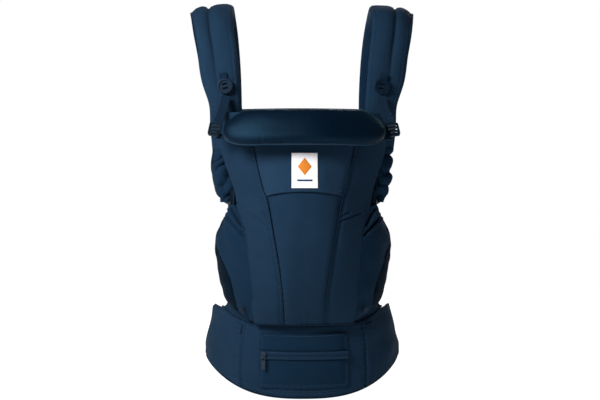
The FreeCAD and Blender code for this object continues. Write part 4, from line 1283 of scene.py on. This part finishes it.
def pillow_edge(turn, inset=0.0, reach=126):
    """Path along the pillow where its section is at that angle from the top."""
    path = []
    for x in np.linspace(-reach, reach, 90):
        size = float(table(abs(x), HEADREST_TAPER))
        centre = pillow_centre(vec(x))[0]
        thick_r = HEADREST_THICK * size ** 0.7 + inset
        long_r = pillow_half * size + inset
        path.append(centre + pillow_up * math.cos(turn) * long_r + pillow_out * math.sin(turn) * thick_r)
    return np.array(path)


def laid_on(obj, path, lift):
    """The path moved onto the surface of obj, all in millimetres."""
    mesh = obj.data
    tree = BVHTree.FromPolygons([v.co for v in mesh.vertices], [p.vertices for p in mesh.polygons])
    moved = []
    for spot in path:
        place, normal, _, _ = tree.find_nearest(Vector(spot * MM))
        moved.append(np.array(place + normal * lift * MM) / MM)
    return np.array(moved)


piping_path = laid_on(pillow, pillow_edge(math.radians(168), 0.6), 0.3)
piping("headrest_piping", piping_path, 1.1, edging, "headrest")


def flap_place(x, v):
    """Cloth from the panel's top edge over the fold line and into the pillow."""
    x, v = paired(x, v)
    start = panel_at(x, np.full(x.shape, PANEL_HIGH - 7.0)) + vec(0, PANEL_THICK / 2, 0)
    end = pillow_centre(x) + pillow_up * pillow_half * 0.8 - pillow_out * HEADREST_THICK * 0.3
    fold = point(x, (start[..., 1] + end[..., 1]) / 2 + 5.0, HEADREST_TOP[1] + 4.0)
    v = v[..., None]
    return start * (1 - v) ** 2 + fold * 2 * v * (1 - v) + end * v ** 2


flap = layer("headrest_flap", flap_place, (-84, 84), (0, 1), 0.8, -0.8, [jersey_flat], "jersey", body=None,
             rim=0.8, pitch=1.8)
tuple(flap_place(vec(0), vec(0.2))[0] * MM)
tuple(flap_place(vec(0), vec(0.9))[0] * MM)
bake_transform(flap)


# ---- shoulder straps

STRAP_LENGTH = path_length(strap_surface(np.zeros(200), np.linspace(0, 1, 200)))


def over_shoulder(v):
    """1 along the top of the strap, fading to 0 towards both ends."""
    return smooth((v - 0.1) / 0.18) * smooth((0.72 - v) / 0.16)


for side, word in SIDES:
    def cover_outer(u, v, side=side):
        u = np.abs(u) * np.sign(u * side)
        wide = strap_frame(v)[3]
        x, y = u * wide, v * STRAP_LENGTH
        edge = (0.5 - np.abs(u)) * wide
        low = smooth((0.16 - v) / 0.12)
        value = strap_half(u) + ripple(x, y * 0.7, 100 + side, 50.0, 1.1)
        value = value + ripple(x, y, 108 + side, 24.0, 1.0) * low
        channel = 4.0 * np.exp(-(((x - 5) / 8.5) ** 2)) + 3.4 * np.exp(-(((x - 5) / 2.0) ** 2))
        shoulder = 4.0 * smooth((u - 0.1) / 0.38) + 2.6 * smooth((u - 0.37) / 0.13)
        value = value - over_shoulder(v) * channel
        value = value - over_shoulder(v) * shoulder
        value = value + groove(edge - 8.0, 0.8, 1.3) + pucker(edge - 8.0, y, 102 + side, 0.5, 5.0)
        return value

    def lining_outer(u, v, side=side):
        wide = strap_frame(v)[3]
        return -strap_half(u) + ripple(u * wide, v * STRAP_LENGTH, 104 + side, 34.0, 0.5)

    place = sided(strap_surface, side)
    cover = layer("strap_cover_" + word, place, (-0.5, 0.5), (0, 1), cover_outer, 0.1, [cotton], "cotton",
                  ["shoulder_pad_" + word, "strap_foam_" + word], rim=6.0, pitch=2.4)
    lining = layer("strap_mesh_" + word, place, (-0.5, 0.5), (0, 1), -0.1, lining_outer, [dark_lining_and_shade, spacer],
                   "spacer_mesh", ["strap_lining_" + word], rim=5.0, pitch=3.0)
    vs = np.linspace(0, 1, 200)
    edges = [place(np.full(200, u), vs) for u in (-0.475, 0.475)]
    outline_path = np.concatenate([edges[0], edges[1][::-1], edges[0][:1]])
    piping("strap_piping_" + word, outline_path, 1.5, closed=True)
    for u in (-0.38, 0.38):
        stitch_on("carrier", place, cover_outer, [(u, 0.01), (u, 0.99)], 700)

    rings = []
    for z in np.linspace(GATHER[0][0], GATHER[-1][0], 120):
        x, y, wide, thick = table(z, sorted(GATHER))
        turn = round_angles(72)
        across = np.cos(turn) * wide
        lean = z + 0.75 * across + ripple(across, z, 110 + side, 44.0, 9.0)
        fold = 5.8 * (np.abs(np.sin(math.pi * lean / 29.0)) ** 0.6 - 0.85)
        crossing = z - 0.9 * across + 9 * side + ripple(across, z, 114 + side, 38.0, 8.0)
        fold = fold + 3.0 * (np.abs(np.sin(math.pi * crossing / 37.0)) ** 0.7 - 0.8)
        fold = (fold + ripple(turn * 12, z, 112 + side, 17.0, 0.6)) * min(1.0, wide / 12.0)
        ring = point(x + np.cos(turn) * (wide + fold), y + np.sin(turn) * (thick + fold), z)
        rings.append(ring * vec(side, 1, 1))
    if side > 0:
        rings.reverse()
    # The gather takes the darker copy of the twill: painted shade.
    gather = finished(closed_rings("strap_gather_cloth_" + word, rings, cotton_loose_shaded), "carrier", "cotton",
                      ["strap_gather_" + word])


# ---- webbing


def strap_webbing(name, place, wide, body, replaced, blend=None):
    """Flat webbing with its two selvedges, laid along a surface."""
    def face(u, v):
        return WEBBING_THICK / 2 - 0.12 + 0.14 * smooth((np.abs(u) - wide / 2 + 2.4) / 1.2)

    def back(u, v):
        return -face(u, v)

    obj = layer(name, place, (-wide / 2, wide / 2), (0, 1), face, back, [webbing], "webbing", replaced,
                None if blend else body, rim=0.8, pitch=2.0)
    if blend:
        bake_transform(obj)
    return obj


def shoulder_route():
    """Stations of the webbing from the end of a shoulder pad to its side buckle."""
    t = math.radians(SIDE_BUCKLE_TURN)
    along, across = vec(math.cos(t), math.sin(t), 0), vec(0, 0, 1)
    face = np.cross(along, across)
    mouth = vec(*SIDE_BUCKLE_AT) + along * 36.1
    centre, end_across, end_face, _ = [x[0] if np.ndim(x) > 1 else x for x in strap_frame(vec(1.0))]
    tail = strap_frame(vec(0.998))[0][0]
    begin = centre + unit(centre - tail) * 0.6
    middle = (begin + mouth) * 0.5 + vec(6.5, 0, -1.5)
    quarter = (begin + middle) * 0.5 + vec(2.0, 0, -1.0)
    return [
        (begin, end_across, end_face), (quarter, unit(vec(0, -0.2, 1)), vec(1, -0.05, 0)),
        (middle, unit(vec(0, -0.1, 1)), vec(1, -0.2, 0)),
        ((middle + mouth) * 0.5 + vec(2.0, 0, 0), vec(0, 0, 1), face + vec(0.1, 0, 0)),
        (mouth, across, face),
    ]


def mirrored(stations, side):
    flip = vec(side, 1, 1)
    return [(np.asarray(c, float) * flip, np.asarray(a, float) * flip, np.asarray(f, float) * flip)
            for c, a, f in stations]


lock_along = unit(vec(0.15, -0.48, -0.86))

for side, word in SIDES:
    route = mirrored(shoulder_route(), side)
    strap_webbing("shoulder_strap_webbing_" + word, along_stations(route), SHOULDER_WEBBING, None,
                  ["shoulder_webbing_" + word],
                  ("carrier", "side_male_" + word, tuple(route[2][0] * MM), tuple(route[4][0] * MM)))
    top_point, lock, low_point = vec(*LOOP_TOP), vec(*LOCK_AT), vec(*LOOP_LOW)
    face = (0, -0.85, 0.5)
    upper = [
        (top_point, (1, 0, 0.1), face), (top_point * 0.62 + lock * 0.38 + vec(-2, 0, 0), (1, 0, 0.22), face),
        (top_point * 0.3 + lock * 0.7 + vec(-1, 0, 0), (1, 0, 0.3), face),
        (lock + vec(-3.0, 5.5, 11.5), (1, 0, 0.25), face),
    ]
    strap_webbing("headrest_webbing_" + word, along_stations(mirrored(upper, side)), HEADREST_WEBBING,
                  "headrest_loop_" + word, ["headrest_strap_" + word])
    lower = [
        (low_point + vec(-8.0, -1.6, 0), lock_along, (0.4, -0.8, 0.45)),
        (low_point, lock_along, (0.35, -0.82, 0.45)),
        (low_point + vec(12.0, 2.4, 1.0), lock_along, (0, -0.87, 0.485)),
    ]
    strap_webbing("headrest_tail_" + word, along_stations(mirrored(lower, side)), HEADREST_WEBBING - 4,
                  "headrest_loop_" + word, ["headrest_anchor_" + word])


def box_strip(node, name, body, blend=None):
    """Straight webbing that runs along X through the middle of a CAD node's box."""
    low_corner, high_corner = [vec(*corner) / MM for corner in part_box(node)]
    mid = (low_corner + high_corner) / 2
    stations = [(vec(x, mid[1], mid[2]), vec(0, 0, 1), vec(0, 1, 0))
                for x in np.linspace(low_corner[0], high_corner[0], 4)]
    return strap_webbing(name, along_stations(stations), high_corner[2] - low_corner[2], body, [node], blend)


box_strip("chest_webbing_right", "chest_strap_webbing_right", "chest_strap")
chest_low, chest_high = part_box("chest_webbing_left")
box_strip("chest_webbing_left", "chest_strap_webbing_left", None,
          ("chest_strap", "chest_male", tuple(chest_low), tuple(chest_high)))


def waist_stations(low_angle, high_angle, count):
    stations = []
    for angle in np.linspace(low_angle, high_angle, count):
        p = level_surface(vec(angle), vec(LEAN_FROM))[0]
        out = surface_normal(level_surface, vec(angle), vec(LEAN_FROM), 0.01, 0.01)[0]
        out[2] = 0
        stations.append((vec(p[0], p[1], WAIST_HEIGHT), vec(0, 0, 1), unit(out)))
    return stations


turned = math.radians(WAIST_BUCKLE_ANGLE)
waist_along = unit(vec(WAIST_A * math.cos(turned), WAIST_B * math.sin(turned), 0))
waist_at = level_surface(vec(WAIST_BUCKLE_ANGLE), vec(LEAN_FROM))[0]
waist_origin = vec(waist_at[0], waist_at[1], WAIST_HEIGHT) + waist_along * (WAIST_SOCKET - WAIST_PLUG) / 2
waist_out = np.cross(waist_along, vec(0, 0, 1))
if np.dot(waist_out[:2], waist_at[:2]) < 0:
    waist_out = -waist_out


def straight(place_at, way):
    return [(place_at + way * d, vec(0, 0, 1), waist_out) for d in (0.6, 5.0)]


waist_right = waist_stations(BELT_END + 1.4, BELT_END + 3.4, 2)
waist_right += list(reversed(straight(waist_origin - waist_along * WAIST_SOCKET, -waist_along)))
waist_left = straight(waist_origin + waist_along * WAIST_PLUG, waist_along)
waist_left += waist_stations(164.0, 360.0 - BELT_END - 1.4, 12)
strap_webbing("waist_strap_webbing_right", along_stations(waist_right), WAIST_WEBBING, "carrier",
              ["waist_webbing_right"])
strap_webbing("waist_strap_webbing_left", along_stations(waist_left), WAIST_WEBBING, None,
              ["waist_webbing_left"],
              ("carrier", "waist_male", tuple(waist_left[4][0] * MM), tuple(waist_left[0][0] * MM)))


# ---- lumbar pad

lumbar_arc = math.degrees(LUMBAR_HALF / BACK_RADIUS)
lumbar_middle = WEBBING_THICK / 2 + 2.6 + LUMBAR_THICK / 2


def lumbar_ring(z, count=40):
    """Section of the pad at a height: long, flat and round at its ends."""
    share = abs(z - WAIST_HEIGHT) / (LUMBAR_TALL / 2)
    turn = round_angles(count)
    across = np.sign(np.cos(turn)) * np.abs(np.cos(turn)) ** 0.4
    depth = np.sign(np.sin(turn)) * np.abs(np.sin(turn)) ** 0.6
    t = np.radians(across * lumbar_arc * (0.95 - 0.12 * share ** 4))
    radius = BACK_RADIUS - lumbar_middle - depth * (LUMBAR_THICK / 2 - 1.4) * (1 - 0.45 * share ** 4)
    return point(radius * np.sin(t), WAIST_B - BACK_RADIUS + radius * np.cos(t), z)


def lumbar_away(points):
    """Distance of each point inwards from the middle of the pad."""
    return BACK_RADIUS - lumbar_middle - np.hypot(points[:, 0], points[:, 1] - WAIST_B + BACK_RADIUS)


def lumbar_shape(points):
    """Three sewn channels and a few gathers on the side next to the wearer."""
    away = lumbar_away(points)
    x, z = points[:, 0], points[:, 2]
    front = smooth(away / 3.0)
    channel = np.minimum(np.abs(x), np.abs(np.abs(x) - LUMBAR_HALF * 0.55))
    move = (groove(channel, 1.7, 1.8) + pucker(channel, z, 121, 0.4)) * front
    out = unit(np.stack([-x, WAIST_B - BACK_RADIUS - points[:, 1], np.zeros(len(x))], axis=1))
    return points + out * move[:, None]


lumbar_rows = np.linspace(WAIST_HEIGHT - LUMBAR_TALL / 2 + 1.5, WAIST_HEIGHT + LUMBAR_TALL / 2 - 1.5, 24)
lumbar = closed_rings("lumbar_cushion", [lumbar_ring(z) for z in lumbar_rows], spacer_loose)
inflate(lumbar, frames=16, pressure=3.0, cap=0.0016, voxel=0.004)
shaped(lumbar, lumbar_shape)
finished(lumbar, "lumbar", "spacer_mesh", ["lumbar_pad"])


# ---- hardware that keeps its CAD shape

KEPT = {
    moulded: ["side_buckle_female_left", "side_buckle_female_right", "side_buckle_male_left",
              "side_buckle_male_right", "waist_buckle_female", "waist_buckle_male", "waist_release_button",
              "chest_sliders", "chest_buckle_female", "chest_buckle_male", "ladder_lock_left",
              "ladder_lock_right", "wing_snaps"],
    button_plastic: ["strap_buttons"],
    zip_metal: ["zipper_slider", "zipper_pull"],
    webbing_loose: ["buckle_anchors", "webbing_keepers", "lumbar_loops", "strap_rails", "button_tabs",
                    "headrest_hinge"],
}
for material, names in KEPT.items():
    for name in names:
        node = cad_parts[name]
        node.data.materials.clear()
        node.data.materials.append(material)

sew(thread)


# ---- studio

FLOOR_Z = -0.004
VIEW_AZIMUTH = math.radians(-1.4)
VIEW_FAR = 1.6
VIEW_TARGET = Vector((-0.0070, -0.150, 0.319))


def floor_material():
    graph = Graph("studio_floor")
    vector = graph.in_space()
    cloud = graph.noise(vector, 2.0, 3.0)
    shade = graph.blend(cloud, (0.22, 0.22, 0.22, 1), (0.25, 0.25, 0.25, 1))
    return graph.surface(
        Base_Color=shade, Roughness=0.9, Emission_Color=(1, 1, 1, 1), Emission_Strength=0.99,
        Specular_IOR_Level=0.0,
    )


def make_floor():
    size = 9.0
    mesh = bpy.data.meshes.new("studio_floor")
    corners = [(-size, -size, FLOOR_Z), (size, -size, FLOOR_Z), (size, size, FLOOR_Z), (-size, size, FLOOR_Z)]
    mesh.from_pydata(corners, [], [(0, 1, 2, 3)])
    mesh.materials.append(floor_material())
    floor = linked("studio_floor", mesh)


def make_light(name, place, size, power, target=(0, -0.1, 0.36)):
    data = bpy.data.lights.new(name, "AREA")
    data.size = size
    data.energy = power
    light = linked(name, data)
    light.location = place
    light.rotation_euler = (Vector(target) - Vector(place)).to_track_quat("-Z", "Y").to_euler()


def make_world(seen, given):
    """White seen behind the object, and a softer white that lights it."""
    world = bpy.data.worlds.new("studio")
    bpy.context.scene.world = world
    world.use_nodes = True
    tree = world.node_tree
    tree.nodes.clear()
    out = tree.nodes.new("ShaderNodeOutputWorld")
    mix = tree.nodes.new("ShaderNodeMixShader")
    path = tree.nodes.new("ShaderNodeLightPath")
    tree.links.new(path.outputs["Is Camera Ray"], mix.inputs[0])
    for slot_number, strength in ((1, given), (2, seen)):
        background = tree.nodes.new("ShaderNodeBackground")
        background.inputs["Color"].default_value = (1, 1, 1, 1)
        background.inputs["Strength"].default_value = strength
        tree.links.new(background.outputs[0], mix.inputs[slot_number])
    tree.links.new(mix.outputs[0], out.inputs["Surface"])


def make_camera():
    data = bpy.data.cameras.new("camera")
    data.lens, data.sensor_width = 60.0, 36.0
    camera = linked("camera", data)
    back = Vector((math.sin(VIEW_AZIMUTH), -math.cos(VIEW_AZIMUTH), 0))
    camera.location = VIEW_TARGET + back * VIEW_FAR
    camera.rotation_euler = (-back).to_track_quat("-Z", "Y").to_euler()
    bpy.context.scene.camera = camera


make_floor()
make_light("key", place=(-0.76, -0.86, 0.96), size=0.5, power=27.0)
make_light("back", place=(0.55, 1.5, 1.2), size=1.4, power=24.0)
make_world(seen=1.0, given=0.025)
make_camera()
bpy.context.scene.view_settings.view_transform = "Standard"
